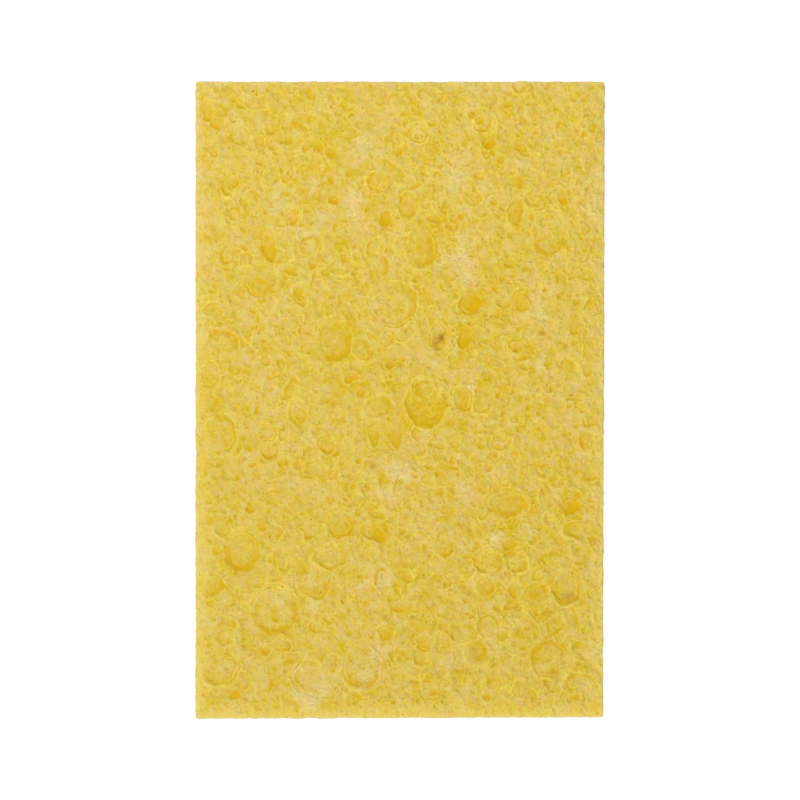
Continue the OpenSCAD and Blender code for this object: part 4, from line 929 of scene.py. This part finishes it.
along = np.where(end_side[:, None], corner_points[..., 0] + half[0] + apart + second_end * beyond[:, None],
                 corner_points[..., 1] + half[1] + apart)
into_side = np.where(end_side[:, None], high[1] - np.abs(corner_points[..., 1]),
                     high[0] - np.abs(corner_points[..., 0])).clip(0, deepest_slit)
up = np.where(slit[:, None], into_side, corner_points[..., 2])
u = np.where(in_side[:, None], along, u)
v = np.where(in_side[:, None], row_start[:, None] + up, v)
layout = sponge_mesh.uv_layers.new(name="OFBake")
layout.data.foreach_set("uv", (np.stack((u, v), -1) * layout_scale).astype(np.float32).ravel())
sheet = bpy.data.objects.new("cellulose_sheet", sponge_mesh)
bpy.context.collection.objects.link(sheet)

# Dyed cellulose: dull, and a little light goes through it, so its edges glow
cellulose = bpy.data.materials.new("cellulose")
cellulose.use_nodes = True
nodes, links = cellulose.node_tree.nodes, cellulose.node_tree.links
skin = nodes["Principled BSDF"]
skin.inputs["Specular IOR Level"].default_value = 0.12
skin.inputs["Subsurface Weight"].default_value = 0.4
skin.inputs["Subsurface Radius"].default_value = (0.6, 0.45, 0.2)
skin.inputs["Subsurface Scale"].default_value = 0.001


def attribute(name):
    """One of the maps that the skin carries."""
    node = nodes.new("ShaderNodeAttribute")
    node.attribute_name = name
    return node.outputs["Fac"]


def blend(factor, a, b):
    """Colour a where factor is 0 and b where it is 1."""
    node = nodes.new("ShaderNodeMix")
    node.data_type = "RGBA"
    links.new(factor, node.inputs["Factor"])
    for value, socket in ((a, node.inputs[6]), (b, node.inputs[7])):
        if isinstance(value, tuple):
            socket.default_value = (*value, 1)
        else:
            links.new(value, socket)
    return node.outputs[2]


def ramp(value, start, end, low_out=0.0, high_out=1.0):
    """Runs from low_out to high_out while value runs from start to end."""
    node = nodes.new("ShaderNodeMapRange")
    node.inputs["From Min"].default_value = start
    node.inputs["From Max"].default_value = end
    node.inputs["To Min"].default_value = low_out
    node.inputs["To Max"].default_value = high_out
    links.new(value, node.inputs["Value"])
    return node.outputs["Result"]


object_space = nodes.new("ShaderNodeTexCoord")


def noise(scale, detail, rough):
    """Random grain with that many waves to the metre."""
    node = nodes.new("ShaderNodeTexNoise")
    node.inputs["Scale"].default_value = scale
    node.inputs["Detail"].default_value = detail
    node.inputs["Roughness"].default_value = rough
    links.new(object_space.outputs["Object"], node.inputs["Vector"])
    return node.outputs["Fac"]


body = (0.727, 0.532, 0.1)
gold = (0.70, 0.482, 0.009)
cream = (0.748, 0.574, 0.224)
lemon = (0.87, 0.69, 0.11)
whitened = (0.85, 0.72, 0.42)
mark_gold = (0.685, 0.438, 0.001)
pit_gold = (0.73, 0.465, 0.001)
brown = (0.42, 0.185, 0.02)
dyed_deeper = blend(ramp(attribute("tone"), 0.0, -3.0), body, gold)
toned = blend(ramp(attribute("tone"), 0.0, 3.6), dyed_deeper, cream)
# Hollows take the golden film colours, which carry painted shade too, darker than the body
hollowed = blend(attribute("hollow"), toned, blend(attribute("bare"), mark_gold, pit_gold))
# Ridges take the pale colours, which carry painted highlight on the crests and painted light along the rim
# too
folds = blend(attribute("white"), lemon, whitened)
folded = blend(attribute("ridge"), hollowed, folds)
stained = blend(attribute("stain"), folded, brown)
tint = blend(ramp(noise(700, 3.0, 0.6), 0.36, 0.64), (1.028, 0.972, 1.0), (0.972, 1.028, 1.0))
dyed = nodes.new("ShaderNodeMix")
dyed.data_type = "RGBA"
dyed.blend_type = "MULTIPLY"
dyed.inputs["Factor"].default_value = 1.0
links.new(stained, dyed.inputs[6])
links.new(tint, dyed.inputs[7])
links.new(dyed.outputs[2], skin.inputs["Base Color"])
links.new(ramp(noise(1500, 3.0, 0.6), 0.3, 0.7, 0.66, 0.86), skin.inputs["Roughness"])
felt = nodes.new("ShaderNodeBump")
felt.inputs["Strength"].default_value = 0.6
felt.inputs["Distance"].default_value = 0.08 * MM
links.new(noise(2600, 3.0, 0.65), felt.inputs["Height"])
links.new(felt.outputs["Normal"], skin.inputs["Normal"])
sponge_mesh.materials.append(cellulose)

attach(sheet, "root")
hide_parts("sponge")
